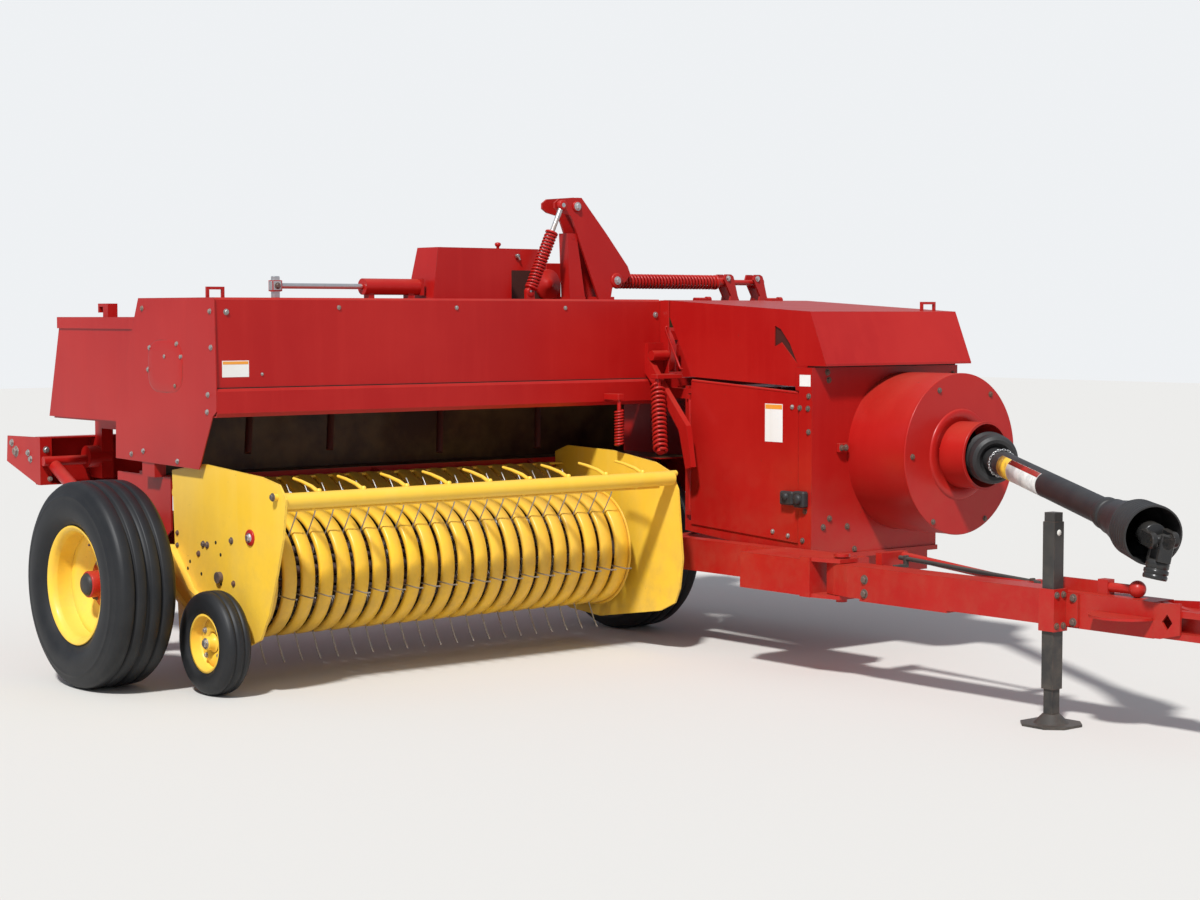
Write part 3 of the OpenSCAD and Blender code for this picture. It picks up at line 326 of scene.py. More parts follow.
RED_TONES = (0.37, 0.006, 0.005), (0.43, 0.014, 0.01), (0.3, 0.13, 0.07)
YELLOW_TONES = (0.88, 0.53, 0.035), (0.9, 0.58, 0.08)
RED = painted("red_paint", *RED_TONES, 0.36, 0.26, (0.16, 0.03, 0.02))
YELLOW = painted("yellow_paint", *YELLOW_TONES, (0.44, 0.29, 0.12), 0.38, 0.35, (0.3, 0.15, 0.05))
WORN_YELLOW = painted("worn_yellow", (0.86, 0.5, 0.035), (0.7, 0.42, 0.06), (0.34, 0.2, 0.07),
                      0.3, 0.45, (0.3, 0.17, 0.06))
# Its last colour is painted shade for the pan within the reel's sweep.
PICKUP_YELLOW = painted("pickup_yellow", *YELLOW_TONES, (0.42, 0.27, 0.11), 0.38, 0.35,
                        (0.3, 0.15, 0.05), (0.03, 0.024, 0.017))
BLACK_PAINT = painted("black_paint", (0.018, 0.018, 0.018), (0.04, 0.038, 0.036),
                      (0.16, 0.13, 0.1), 0.42, 0.5, (0.12, 0.07, 0.05))
GLOSS_BLACK = painted("gloss_black", (0.012, 0.012, 0.013), (0.022, 0.022, 0.022),
                      (0.1, 0.085, 0.06), 0.26, 0.25, (0.08, 0.06, 0.05))
# The tyre colour's blue tint is a painted reflection of the sky.
TYRE = rubber("tyre_rubber", (0.0075, 0.0085, 0.0105), (0.024, 0.024, 0.024), 0.52)
PLASTIC = rubber("black_plastic", (0.02, 0.02, 0.021), (0.055, 0.052, 0.048), 0.5)
STEEL = bare_metal("worn_steel", (0.46, 0.45, 0.43), (0.16, 0.08, 0.045), 0.5)
BRIGHT = bare_metal("bright_steel", (0.68, 0.68, 0.67), (0.26, 0.18, 0.12), 0.1, 0.28)
TINE_STEEL = bare_metal("tine_steel", (0.5, 0.49, 0.46), (0.22, 0.15, 0.1), 0.3, 0.5)
RUSTY = bare_metal("rusty_iron", (0.22, 0.19, 0.17), (0.13, 0.055, 0.03), 0.95, 0.6)
# Its box is the feeder's inside, whose walls get painted shade.
FEEDER_RED = painted("feeder_red", *RED_TONES, 0.4, 0.3, (0.16, 0.03, 0.02), None,
                     ((-2.452, -0.3, 0.7135), (-0.2, 0.224, 1.36)))
# Red darkened to stand for red in shade: painted shade for the feeder's tines, the hood's cut, the
# gap under its skirt and the top box's recess.
SHADED_RED = painted("painted_shade_red", (0.06, 0.01, 0.008), (0.05, 0.02, 0.014), (0.08, 0.05, 0.03),
                   0.6, 0.8, (0.08, 0.04, 0.03))
# Near black that stands for the shade inside holes and gaps: painted shade.
HOLE_AND_GAP_SHADE = painted("painted_hole_and_gap_shade", (0.012, 0.01, 0.008), (0.02, 0.016, 0.012), (0.05, 0.04, 0.03),
                 0.8, 0.2, (0.03, 0.02, 0.015))
WHITE = painted("blank_label", (0.8, 0.8, 0.77), (0.7, 0.68, 0.62), (0.5, 0.45, 0.36), 0.5,
                0.25, (0.5, 0.5, 0.48))
ORANGE = painted("label_edge", (0.8, 0.3, 0.03), (0.76, 0.36, 0.08), (0.5, 0.4, 0.3), 0.5, 0.25,
                 (0.5, 0.4, 0.3))

CAD_LOOKS = {
    "twine_lid": RED, "gearbox": RUSTY, "flywheel": RUSTY, "feeder_tines": SHADED_RED,
    "pto_shaft": PLASTIC, "pto_guard": PLASTIC, "jack_tube": BLACK_PAINT, "jack_leg": BLACK_PAINT,
    "right_tyre": TYRE, "left_tyre": TYRE, "gauge_tyre": TYRE, "reel": STEEL,
    "pickup_frame": PICKUP_YELLOW, "strippers": WORN_YELLOW, "wind_guard": YELLOW,
    "gauge_arm": YELLOW, "gauge_rim": YELLOW, "right_rim": YELLOW, "left_rim": YELLOW,
    "feeder_housing": FEEDER_RED,
}


def dress_cad():
    """Gives every CAD node its material."""
    for name, node in NODES.items():
        node.data.materials.clear()
        node.data.materials.append(CAD_LOOKS.get(name, RED))


# Mesh building

FORMS = []


def spot(place):
    """A point of the row frame; a tuple is a place in the CAD's layout."""
    return at(*place) if isinstance(place, tuple) else Vector(place)


def across(axis):
    """Two unit directions that are square to an axis and to each other."""
    side = axis.orthogonal().normalized()
    return side, axis.cross(side)


def circle(side, other, count):
    """Unit directions round a circle from side towards other."""
    angles = [2 * math.pi * k / count for k in range(count)]
    return [math.cos(a) * side + math.sin(a) * other for a in angles]


class Form:
    """Collects vertices and faces in the row frame, then becomes one object."""

    def __init__(self, name, material=RED, body="chassis", slot="red_paint", *replaced):
        self.name, self.material, self.body, self.slot = name, material, body, slot
        self.replaced = replaced
        self.points, self.faces, self.smooth = [], [], []
        FORMS.append(self)

    def add(self, points, faces, smooth=True):
        first = len(self.points)
        self.points += [tuple(p) for p in points]
        self.faces += [tuple(first + i for i in f) for f in faces]
        self.smooth += [smooth] * len(faces)

    def sweep(self, rings, closed_ends=True, smooth=True, loop=False):
        """Skin between rings of equal length; a loop joins the last ring to the first."""
        n, count = len(rings[0]), len(rings)
        faces = []
        for i in range(count if loop else count - 1):
            a, b = i * n, ((i + 1) % count) * n
            faces += [(a + k, a + (k + 1) % n, b + (k + 1) % n, b + k) for k in range(n)]
        self.add([p for ring in rings for p in ring], faces, smooth)
        if closed_ends and not loop:
            self.add(rings[0], [tuple(reversed(range(n)))], False)
            self.add(rings[-1], [tuple(range(n))], False)

    def tube(self, path, radius, sides=10):
        """Round bar along a path; radius is one number or a list with one for each point."""
        path = [spot(p) for p in path]
        radii = radius if isinstance(radius, list) else [radius] * len(path)
        rings, side = [], None
        for i, p in enumerate(path):
            along = (path[min(i + 1, len(path) - 1)] - path[max(i - 1, 0)]).normalized()
            if side is None:
                side = along.orthogonal().normalized()
            side = (side - along * side.dot(along)).normalized()
            rings.append([p + radii[i] * u for u in circle(side, along.cross(side), sides)])
        self.sweep(rings)

    def lathe(self, profile, centre, axis, segments=64, smooth=True):
        """Turns (radius, distance along axis) points round the axis."""
        centre, axis = spot(centre), Vector(axis).normalized()
        n = len(profile)
        points = [centre + axis * z + out * r for out in circle(*across(axis), segments)
                  for r, z in profile]
        faces = []
        for k in range(segments):
            a, b = k * n, ((k + 1) % segments) * n
            faces += [(a + i, a + i + 1, b + i + 1, b + i) for i in range(n - 1)]
        self.add(points, faces, smooth)

    def bolt(self, point, normal, size=0.011, thick=0.007):
        """Hexagon head on its washer."""
        point, normal = spot(point), Vector(normal).normalized()
        self.lathe([(0.0, 0.0018), (size * 1.35, 0.0018), (size * 1.4, 0.0)], point, normal, 14,
                   False)
        point = point + normal * 0.0018
        self.sweep([[point + normal * h + r * u for u in circle(*across(normal), 6)] for r, h in
                    ((size, 0.0), (size, thick * 0.8), (size * 0.82, thick))], True, False)

    def block(self, low, high, bevel=0.002):
        """Box with chamfered edges."""
        low, high = spot(low), spot(high)
        c, h = (low + high) / 2, (high - low) / 2
        bevel = min(bevel, min(h) * 0.9)
        corners = list(itertools.product((-1, 1), repeat=3))
        points = [c + Vector([s * (h[k] if k == axis else h[k] - bevel)
                              for k, s in enumerate(signs)])
                  for signs in corners for axis in range(3)]
        faces = []
        step = (12, 6, 3)
        for axis in range(3):
            u, v = (axis + 1) % 3, (axis + 2) % 3
            for side in (0, step[axis]):
                ring = [side + axis + a * step[u] + b * step[v]
                        for a, b in ((0, 0), (1, 0), (1, 1), (0, 1))]
                faces.append(ring if side else ring[::-1])
            for a, b in itertools.product((0, 1), repeat=2):
                near = a * step[u] + b * step[v]
                far = near + step[axis]
                quad = [near + u, far + u, far + v, near + v]
                faces.append(quad if a != b else quad[::-1])
        for i, signs in enumerate(corners):
            tri = [3 * i, 3 * i + 1, 3 * i + 2]
            faces.append(tri if math.prod(signs) > 0 else tri[::-1])
        self.add(points, faces, False)

    def coil(self, start, end, radius, wire, turns):
        """Helical spring of a round wire."""
        start, end = spot(start), spot(end)
        axis = (end - start).normalized()
        side, other = across(axis)
        length = (end - start).length
        path = []
        steps = turns * 20
        for i in range(steps + 1):
            t = i / steps
            angle = 2 * math.pi * turns * t
            path.append(start + axis * (wire + (length - 2 * wire) * t)
                        + radius * (math.cos(angle) * side + math.sin(angle) * other))
        self.tube(path, wire, 8)

    def build(self):
        mesh = bpy.data.meshes.new(self.name)
        mesh.from_pydata(self.points, [], self.faces)
        mesh.polygons.foreach_set("use_smooth", self.smooth)
        mesh.materials.append(self.material)
        mesh.update()
        obj = link(self.name, mesh)
        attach(obj, self.body)
        if self.replaced:
            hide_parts(*self.replaced)


def radial(degrees):
    """Unit direction square to the x axis, turned up from the rear."""
    a = math.radians(degrees)
    return Vector((0, math.cos(a), math.sin(a)))


def arc_points(cy, cz, radius, start, stop, count):
    """(y, z) points of an arc, angles in degrees."""
    angles = [math.radians(start + (stop - start) * i / count) for i in range(count + 1)]
    return [(cy + radius * math.cos(a), cz + radius * math.sin(a)) for a in angles]


# Wheels

def main_wheel(name, wheel, body, out):
    """Ribbed tyre and dished rim; out is -1 where the outer side faces -x."""
    x, radius, width = wheel
    centre = at(x, 0, radius)
    tyre = Form(name + "_tyre_form", TYRE, body, "tyre", name + "_tyre")
    side = [(0.186, 0.084), (0.19, 0.0875), (0.196, 0.0905), (0.204, 0.0925), (0.209, 0.0955),
            (0.214, 0.1), (0.226, 0.111), (0.245, 0.119), (0.268, 0.1203), (0.284, 0.119),
            (0.296, 0.1165), (0.299, 0.1172), (0.302, 0.116), (0.305, 0.113), (0.308, 0.1125),
            (0.318, 0.1075), (0.321, 0.1075), (0.33, 0.0995), (0.333, 0.099), (0.34, 0.088)]
    crown = [(0.3425, 0.083), (0.344, 0.053), (0.342, 0.049), (0.331, 0.047), (0.331, 0.042),
             (0.343, 0.04), (0.3448, 0.037), (0.345, 0.009), (0.343, 0.005), (0.331, 0.003)]
    # The listed form is 345 mm by 241 mm; above the bead it grows to the tyre's own size
    grow, wide = (radius - 0.209) / (0.345 - 0.209), (width - 0.241) / 2
    profile = [(r, z) if r <= 0.209 else (0.209 + (r - 0.209) * grow,
               z + wide * min(1.0, (r - 0.209) / 0.03)) for r, z in side + crown]
    tyre.lathe(profile + [(r, -z) for r, z in reversed(profile)], centre, (1, 0, 0), 112)

    rim = Form(name + "_rim_form", YELLOW, body, "yellow_paint", name + "_rim")
    x_out = Vector((out, 0, 0))
    lip = [(0.181, 0.074), (0.185, 0.0875), (0.1915, 0.0955), (0.199, 0.099), (0.2035, 0.101),
           (0.2065, 0.1), (0.2075, 0.0975), (0.207, 0.0945), (0.2035, 0.0935),
           (0.195, 0.092), (0.1895, 0.089), (0.187, 0.085)]
    back = [(r, -z) for r, z in reversed(lip)]
    bed = [(0.18, -0.07), (0.16, -0.055), (0.16, -0.028), (0.179, -0.016), (0.18, 0.06)]
    rim.lathe(lip + [(0.1858, 0.08), (0.1858, -0.08)] + back + bed + lip[:1], centre, x_out, 96)
    dish = [(0.18, 0.02), (0.171, 0.022), (0.16, 0.017), (0.144, 0.008), (0.128, -0.01),
            (0.118, -0.016), (0.06, -0.016), (0.046, -0.014), (0.046, -0.022), (0.118, -0.024),
            (0.132, -0.018), (0.15, 0.0), (0.172, 0.012), (0.18, 0.01)]
    rim.lathe(dish, centre, x_out, 96)

    hub = Form(name + "_hub", RED, body, "red_paint")
    hub.lathe([(0.0395, 0.05), (0.044, 0.0495), (0.046, 0.047), (0.046, 0.02),
               (0.048, -0.008), (0.086, -0.0105), (0.088, -0.016)], centre, x_out, 48)
    hub.lathe([(0.0258, -0.062), (0.052, -0.062), (0.052, -0.024)], centre, x_out, 48)
    cap = Form(name + "_cap", PLASTIC, body, "black_plastic")
    cap.lathe([(0.0, 0.065), (0.024, 0.0645), (0.032, 0.061), (0.038, 0.055),
               (0.04, 0.049)], centre, x_out, 40)
    nuts = Form(name + "_nuts", RUSTY, body, "iron")
    for k in range(6):
        nuts.bolt(centre + radial(60 * k + 15) * 0.072 + x_out * -0.0098, x_out, 0.0105, 0.011)
    # Valve stem through the rim's barrel
    stem = centre + Vector((0, -0.52, 0.854)) * 0.172
    nuts.tube([stem + x_out * 0.055, stem + x_out * 0.088], 0.0042)


def gauge_wheel():
    """Tyre, rim with its hub and bolts, and the axle's nut on the gauge arm."""
    centre = at(*GAUGE)
    tyre = Form("gauge_tyre_form", TYRE, "gauge_wheel", "tyre", "gauge_tyre")
    side = [(0.102, 0.04), (0.108, 0.0435), (0.114, 0.049), (0.122, 0.0517), (0.134, 0.0515),
            (0.15, 0.0508), (0.162, 0.047), (0.171, 0.038), (0.1725, 0.0365), (0.1765, 0.027),
            (0.1775, 0.019), (0.1735, 0.0175), (0.1735, 0.014), (0.178, 0.0125),
            (0.178, 0.003)]
    tyre.lathe(side + [(r, -z) for r, z in reversed(side)], centre, (1, 0, 0), 80)
    rim = Form("gauge_rim_form", YELLOW, "gauge_wheel", "yellow_paint", "gauge_rim")
    rim.lathe([(0.0935, 0.04), (0.1015, 0.04), (0.1018, 0.036), (0.1018, -0.036),
               (0.1015, -0.04), (0.0935, -0.04), (0.093, -0.01), (0.086, -0.003),
               (0.07, 0.008), (0.046, 0.01), (0.033, 0.002), (0.0325, 0.0), (0.046, 0.006),
               (0.07, 0.004), (0.086, -0.007), (0.093, 0.008), (0.0935, 0.04)], centre,
              RIGHT, 72)
    rim.lathe([(0.0126, 0.034), (0.022, 0.034), (0.0235, 0.031), (0.0235, 0.012), (0.033, 0.006)],
              centre, RIGHT, 40)
    rim.lathe([(0.0126, -0.034), (0.0235, -0.034), (0.0235, -0.002), (0.033, -0.001)], centre,
              RIGHT, 40)
    nuts = Form("gauge_nuts", STEEL, "gauge_wheel", "steel")
    for k in range(4):
        nuts.bolt(centre + radial(90 * k + 40) * 0.06 + Vector((-0.0095, 0, 0)), RIGHT, 0.008,
                  0.006)
    Form("gauge_axle_nut", STEEL, "pickup", "steel").bolt(
        (GAUGE[0] - 0.0352, *GAUGE[1:]), RIGHT, 0.014, 0.008)


# Pickup

def stripper_line():
    """(y, z) line of a band, from the rear strip over the front to the lower tube."""
    line = [(0.014, 0.7003), (-0.012, 0.7)]
    line += arc_points(REEL_Y, REEL_Z, STRIPPER_R - 0.0005, 72, 278, 44)
    return line + [(-0.04, 0.1275)]


def strippers():
    """Curved sheet bands with rolled edges, and the two wide end bands with a raised edge."""
    line = stripper_line()
    form = Form("stripper_bands", WORN_YELLOW, "pickup", "yellow_paint", "strippers")
    thick = 0.0022
    gap = STRIPPER_PITCH - STRIPPER_W
    last = STRIPPER_X0 + (STRIPPER_N - 1) * STRIPPER_PITCH
    rows = [(STRIPPER_X0 + i * STRIPPER_PITCH, STRIPPER_W) for i in range(STRIPPER_N)]
    rows += [(STRIPPER_X0 - (STRIPPER_W + END_BAND_W) / 2 - gap, END_BAND_W),
             (last + (STRIPPER_W + END_BAND_W) / 2 + gap, END_BAND_W)]
    for x, width in rows:
        h = width / 2
        crown = ((-h, -0.016), (-h + 0.0006, -0.006), (-h + 0.0045, -0.0008), (0.0, 0.0012),
                 (h - 0.0045, -0.0008), (h - 0.0006, -0.006), (h, -0.016))
        rings = []
        for k, (y, z) in enumerate(line):
            before, after = line[max(k - 1, 0)], line[min(k + 1, len(line) - 1)]
            dy, dz = after[0] - before[0], after[1] - before[1]
            length = math.hypot(dy, dz)
            ny, nz = dz / length, -dy / length
            if ny * (y - REEL_Y) + nz * (z - REEL_Z) < 0:
                ny, nz = -ny, -nz
            outer = [at(x + u, y + ny * d, z + nz * d) for u, d in crown]
            inner = [at(x + u * 0.94, y + ny * (d - thick), z + nz * (d - thick))
                     for u, d in reversed(crown)]
            rings.append(outer + inner)
        form.sweep(rings)
    for x in (rows[-2][0] - END_BAND_W / 2 + 0.0025, rows[-1][0] + END_BAND_W / 2 - 0.0025):
        rings = []
        for y, z in arc_points(0, 0, 1.0, 75, 275, 44):
            rings.append([at(x + u, REEL_Y + r * y, REEL_Z + r * z) for u, r in
                          ((-0.0025, 0.214), (-0.0025, 0.2275), (0.0, 0.2288), (0.0025, 0.2275),
                           (0.0025, 0.214))])
        form.sweep(rings)


def reel():
    """Shaft, spider plates, tine bars and pairs of spring tines with their coils."""
    # The core's dark rusty iron is partly rust and partly painted shade for the inside of the
    # reel.
    form = Form("reel_core", RUSTY, "pickup_reel", "iron", "reel")
    form.tube([(PLATE_RIGHT - 0.014, REEL_Y, REEL_Z), (PLATE_LEFT + 0.014, REEL_Y, REEL_Z)],
              0.02, 24)
    middle = (PLATE_IN_RIGHT + PLATE_IN_LEFT) / 2
    for x in (PLATE_IN_RIGHT + 0.06, middle, PLATE_IN_LEFT - 0.07):
        form.lathe([(0.02, 0.0), (0.136, 0.0), (0.136, 0.008), (0.02, 0.008)],
                   (x, REEL_Y, REEL_Z), (1, 0, 0), 48, False)
    tines = Form("spring_tines", TINE_STEEL, "pickup_reel", "steel")
    for k in range(TINE_BARS):
        out = radial(360 / TINE_BARS * k + 12)
        back = Vector((0, out[2], -out[1]))
        form.tube([at(x, REEL_Y, REEL_Z) + out * BAR_R
                   for x in (PLATE_IN_RIGHT + 0.008, PLATE_IN_LEFT - 0.008)], 0.013, 14)
        centre = at(0, REEL_Y, REEL_Z)
        for i in range(STRIPPER_N + 1):
            x = STRIPPER_X0 + (i - 0.5) * STRIPPER_PITCH
            hand = 1 if i % 2 == 0 else -1
            base = centre + Vector((x, 0, 0))
            steps = 30
            path = []
            for t in range(steps + 1):
                turn = math.radians(90 + 900 * (1 - t / steps))
                along = 0.022 * hand * (1 - t / steps)
                path.append(base + Vector((along, 0, 0)) + out * (BAR_R + 0.0175 * math.cos(turn))
                            - back * 0.0175 * math.sin(turn))
            path += [base - back * 0.016 + out * (BAR_R + 0.05),
                     base - back * 0.006 + out * (BAR_R + 0.12),
                     base + back * 0.002 + out * (TINE_R - 0.03),
                     base + back * 0.012 + out * (TINE_R - 0.001)]
            tines.tube(path, 0.0026, 6)


def wind_guard():
    """Pipe with its end arms, the rods above the crop and the thin bar that joins them."""
    y, z = -0.687, 0.672
    form = Form("crop_guard_form", YELLOW, "crop_guard", "yellow_paint", "wind_guard")
    form.tube([(PLATE_IN_RIGHT + 0.006, y, z), (PLATE_IN_LEFT - 0.006, y, z)], 0.028, 32)
    for x0, x1 in ((PLATE_RIGHT - 0.016, PLATE_IN_RIGHT + 0.04),
                   (PLATE_IN_LEFT - 0.04, PLATE_LEFT + 0.016)):
        form.tube([(x0, y + 0.01, z + 0.016), (x1, y + 0.01, z + 0.016)], 0.012, 20)
    rods = 9
    pitch = (PLATE_IN_LEFT - PLATE_IN_RIGHT - 0.3) / (rods - 1)
    for i in range(rods):
        x = PLATE_IN_RIGHT + 0.15 + i * pitch
        form.tube([(x, y - 0.004, z + 0.022), (x, y + 0.045, z + 0.041),
                   (x, y + 0.11, z + 0.055), (x, y + 0.162, z + 0.062)],
                  [0.0075, 0.007, 0.0058, 0.0048], 12)
        form.lathe([(0.0048, 0.012), (0.0085, 0.008), (0.0095, 0.0)], (x, y, z + 0.026),
                   (0, 0, 1), 14)
        form.tube([(x, y, z - 0.015), (x, y + 0.047, z - 0.036)], 0.004, 8)
    form.tube([(PLATE_IN_RIGHT + 0.03, y + 0.047, z - 0.036),
               (PLATE_IN_LEFT - 0.03, y + 0.047, z - 0.036)], 0.005, 12)


# Springs

def tower_spring():
    """Coil on its bright rod, which leans from the hood's top to the tower's eye."""
    a, b = at(*TOWER_FOOT), at(*TOWER_EYE)
    rod = Form("tower_rod", BRIGHT, "chassis", "steel")
    rod.tube([a, b], 0.01, 16)
    rod.tube([b + Vector((0, 0.0148, 0)), b - Vector((0, 0.012, 0))], 0.009, 16)
    form = Form("tower_spring_form", RED, "chassis", "red_paint", "tower_spring")
    form.coil(a + (b - a) * 0.05, a + (b - a) * 0.67, 0.021, 0.005, 17)
    for t in (0.04, 0.665):
        form.lathe([(0.01, 0.0), (0.024, 0.0), (0.026, 0.002), (0.026, 0.007), (0.024, 0.009),
                    (0.01, 0.009)], a + (b - a) * t, b - a, 24)
    for p in (a, b):
        form.lathe([(0.009, 0.012), (0.018, 0.012), (0.02, 0.01), (0.02, -0.01),
                    (0.018, -0.012), (0.009, -0.012)], p, (0, 1, 0), 28)
    x = TOWER_FOOT[0]
    form.block((x - 0.02, -0.1, HOOD_TOP), (x + 0.02, -0.08, TOWER_FOOT[2]))


def stroke_spring():
    """Long coil beside the tower, with an eye at each end, on two leaning legs."""
    y, z = -0.03, 1.428
    left, right = 0.308, -0.518
    form = Form("stroke_spring_form", RED, "chassis", "red_paint", "stroke_spring")
    form.tube([(-0.54, y, z), (left, y, z)], 0.012, 20)
    form.coil((-0.477, y, z), (0.057, y, z), 0.0255, 0.0054, 30)
    for x in (-0.485, 0.054):
        form.lathe([(0.012, 0.0), (0.028, 0.0), (0.031, 0.003), (0.031, 0.009), (0.028, 0.012),
                    (0.012, 0.012)], (x, y, z), (1, 0, 0), 28)
    form.lathe([(0.0, 0.0348), (0.012, 0.0348), (0.013, 0.032), (0.022, 0.032), (0.0265, 0.029),
                (0.027, 0.02), (0.027, -0.0348), (0.01, -0.0348)], (right, y, z), FRONT, 32)
    form.tube([(0.057, y, z), (0.15, y, z)], 0.02, 20)
    form.lathe([(0.0, 0.0198), (0.02, 0.0198), (0.024, 0.017), (0.025, 0.01), (0.025, -0.017),
                (0.022, -0.0198), (0.01, -0.0198)], (left, y, z), FRONT, 32)
    for x in (0.105, 0.275):
        outline = [(0.0, 1.3), (0.095, 1.3), (0.06, 1.37), (0.04, 1.44), (0.034, 1.455),
                   (0.02, 1.462), (-0.01, 1.462), (-0.018, 1.44), (0.022, 1.37)]
        for v in (-0.05, 0.0):
            form.sweep([[at(x + u, q, w) for u, w in outline] for q in (v, v - 0.01)], True, False)
    form.block((0.06, y - 0.032, 1.292), (0.372, y + 0.05, 1.304))
    form.block((0.06, y + 0.026, 1.008), (0.22, y + 0.05, 1.3))
    heads = [((right, y - 0.0348, z), FRONT, 0.01)]
    heads += [((x, y - 0.03, 1.445), FRONT, 0.009) for x in (0.11, 0.28)]
    bolts("stroke_pins", BRIGHT, heads)


def lift_springs():
    """Long coil beside the pickup and the short one under the hood, with their brackets."""
    top, low = Vector((-0.6, -0.427, 1.015)), Vector((-0.7, -0.56, 0.76))
    form = Form("lift_spring_form", RED, "chassis", "red_paint", "lift_springs")
    form.coil(at(*top), at(*low), 0.0245, 0.0055, 15)
    form.tube([(top[0], top[1], 1.001), (top[0], top[1], 1.05)], 0.012, 16)
    form.tube([at(*(top + (low - top) * 0.93)), at(*low)], [0.012, 0.016], 16)
    form.block((-0.62, -0.446, 1.04), (-0.488, -0.408, 1.058))
    form.block((-0.52, -0.44, 1.04), (-0.488, -0.3102, 1.058))
    form.coil((-0.775, -0.4, 0.78), (-0.775, -0.4, 0.926), 0.0155, 0.0042, 12)
    form.tube([(-0.775, -0.4, 0.92), (-0.775, -0.4, 0.97)], 0.008, 14)
    form.block((-0.79, -0.412, 0.96), (-0.76, -0.3242, 0.985))


# Fasteners, blank labels and small fittings

def bolts(name, material, rows, body="chassis", slot="steel"):
    """Rows of (x, y, z), normal, size of the head."""
    form = Form(name, material, body, slot)
    for place, normal, size in rows:
        form.bolt(place, normal, size, size * 0.65)


def hood_details():
    """Bolts of the feeder hood and the pressed field of its end panel."""
    rows = [((HOOD_RIGHT, y, z), RIGHT, 0.0072) for y, z in (
        (-0.286, 1.304), (-0.292, 1.18), (-0.268, 1.017), (-0.262, 0.957), (0.201, 1.315),
        (0.159, 1.096), (-0.081, 1.145), (-0.052, 1.189), (0.147, 1.174), (0.034, 1.145),
        (-0.041, 1.042), (0.204, 0.801), (0.295, 0.786), (-0.048, 0.776))]
    rows += [((x, HOOD_FRONT, z), FRONT, size) for x, z, size in (
        (-2.458, 1.302, 0.008), (-0.512, 1.291, 0.009), (-2.318, 1.086, 0.004),
        (-2.0, 1.318, 0.006), (-1.485, 1.318, 0.006), (-0.97, 1.318, 0.006))]
    bolts("hood_bolts", STEEL, rows)
    # Shallow pressed field of the end panel
    form = Form("end_panel_field")
    rings = []
    for grow, lift in ((0.01, 0.0), (0.005, 0.0016), (0.0, 0.0024), (-0.03, 0.0026)):
        ring = []
        for k in range(48):
            a = 2 * math.pi * k / 48
            c, d = math.cos(a), math.sin(a)
            y = 0.034 + (0.118 + grow) * math.copysign(abs(c) ** 0.6, c)
            z = 1.11 + (0.085 + grow) * math.copysign(abs(d) ** 0.6, d)
            ring.append(at(HOOD_RIGHT - lift, y, z))
        rings.append(ring)
    form.sweep(rings)


def label(name, low, high, normal, strip, body="chassis"):
    """Blank white plate with a coloured strip along its top; corners in the CAD's layout."""
    low, high = at(*low), at(*high)
    flat, other = (0, 1) if normal == RIGHT else (1, 0)
    low[flat] -= 0.0007
    Form(name, WHITE, body, "black_plastic").block(low, high, 0.0003)
    if strip:
        low[2] = high[2] - strip
        high[2] -= 0.0025
        low[flat] -= 0.0004
        high[flat] -= 0.0004
        low[other] += 0.0025
        high[other] -= 0.0025
        Form(name + "_strip", ORANGE, body, "yellow_paint").block(low, high, 0.0002)


def cover_details():
    """Bolts, blank labels, door edge and latches of the gear housing."""
    door, post = -0.485, -0.49
    rows = [((post, y, z), RIGHT, 0.008) for y, z in
            ((-1.11, 0.945), (-1.153, 0.944), (-1.157, 0.99), (-1.157, 0.857), (-1.14, 0.56),
             (-1.128, 0.45))]
    rows += [((x, COVER_FRONT, z), FRONT, 0.009) for x, z in
             ((-0.41, 1.078), (-0.403, 1.049), (-0.396, 0.531), (-0.429, 0.5), (-0.302, 0.496),
              (-0.262, 0.408), (0.28, 1.06))]
    bolts("cover_bolts", RUSTY, rows, slot="iron")
    bolts("door_bolts", STEEL, [((door, y, z), RIGHT, 0.007) for y, z in
          ((-1.064, 0.947), (-0.962, 0.472), (-1.045, 0.462))], "housing_door")
    label("door_label", (door, -1.013, 0.812), (door, -0.917, 0.956), RIGHT, 0.02, "housing_door")
    label("post_label", (post, -1.166, 1.026), (post, -1.108, 1.069), RIGHT, 0)
    label("hood_label", (-2.476, HOOD_FRONT, 1.077), (-2.37, HOOD_FRONT, 1.134), FRONT, 0.013)
    # Rolled top edge of the door
    Form("door_top_roll", RED, "housing_door").tube(
        [(door + 0.004, -0.5, 1.033), (door + 0.004, -1.094, 1.0)], 0.006, 12)
    # Black latch box with its knob
    form = Form("latch", PLASTIC, "chassis", "black_plastic")
    form.block((-0.52, -1.16, 0.575), (post, -1.102, 0.636), 0.006)
    form.lathe([(0.0, 0.014), (0.013, 0.013), (0.019, 0.008), (0.02, 0.0)],
               (-0.52, -1.131, 0.606), RIGHT, 28)
    form = Form("latch_catch", PLASTIC, "housing_door", "black_plastic")
    form.block((-0.512, -1.092, 0.58), (door, -1.022, 0.632), 0.006)
    form.lathe([(0.0, 0.01), (0.012, 0.009), (0.015, 0.0)], (-0.512, -1.056, 0.612), RIGHT, 24)
    # Latch bracket of the flywheel guard
    Form("guard_lug").block((-0.362, -1.192, 0.778), (-0.318, -1.174, 0.812))
    bolts("guard_lug_bolts", RUSTY, [((x, -1.192, 0.795), FRONT, 0.009)
          for x in (-0.351, -0.329)], slot="iron")


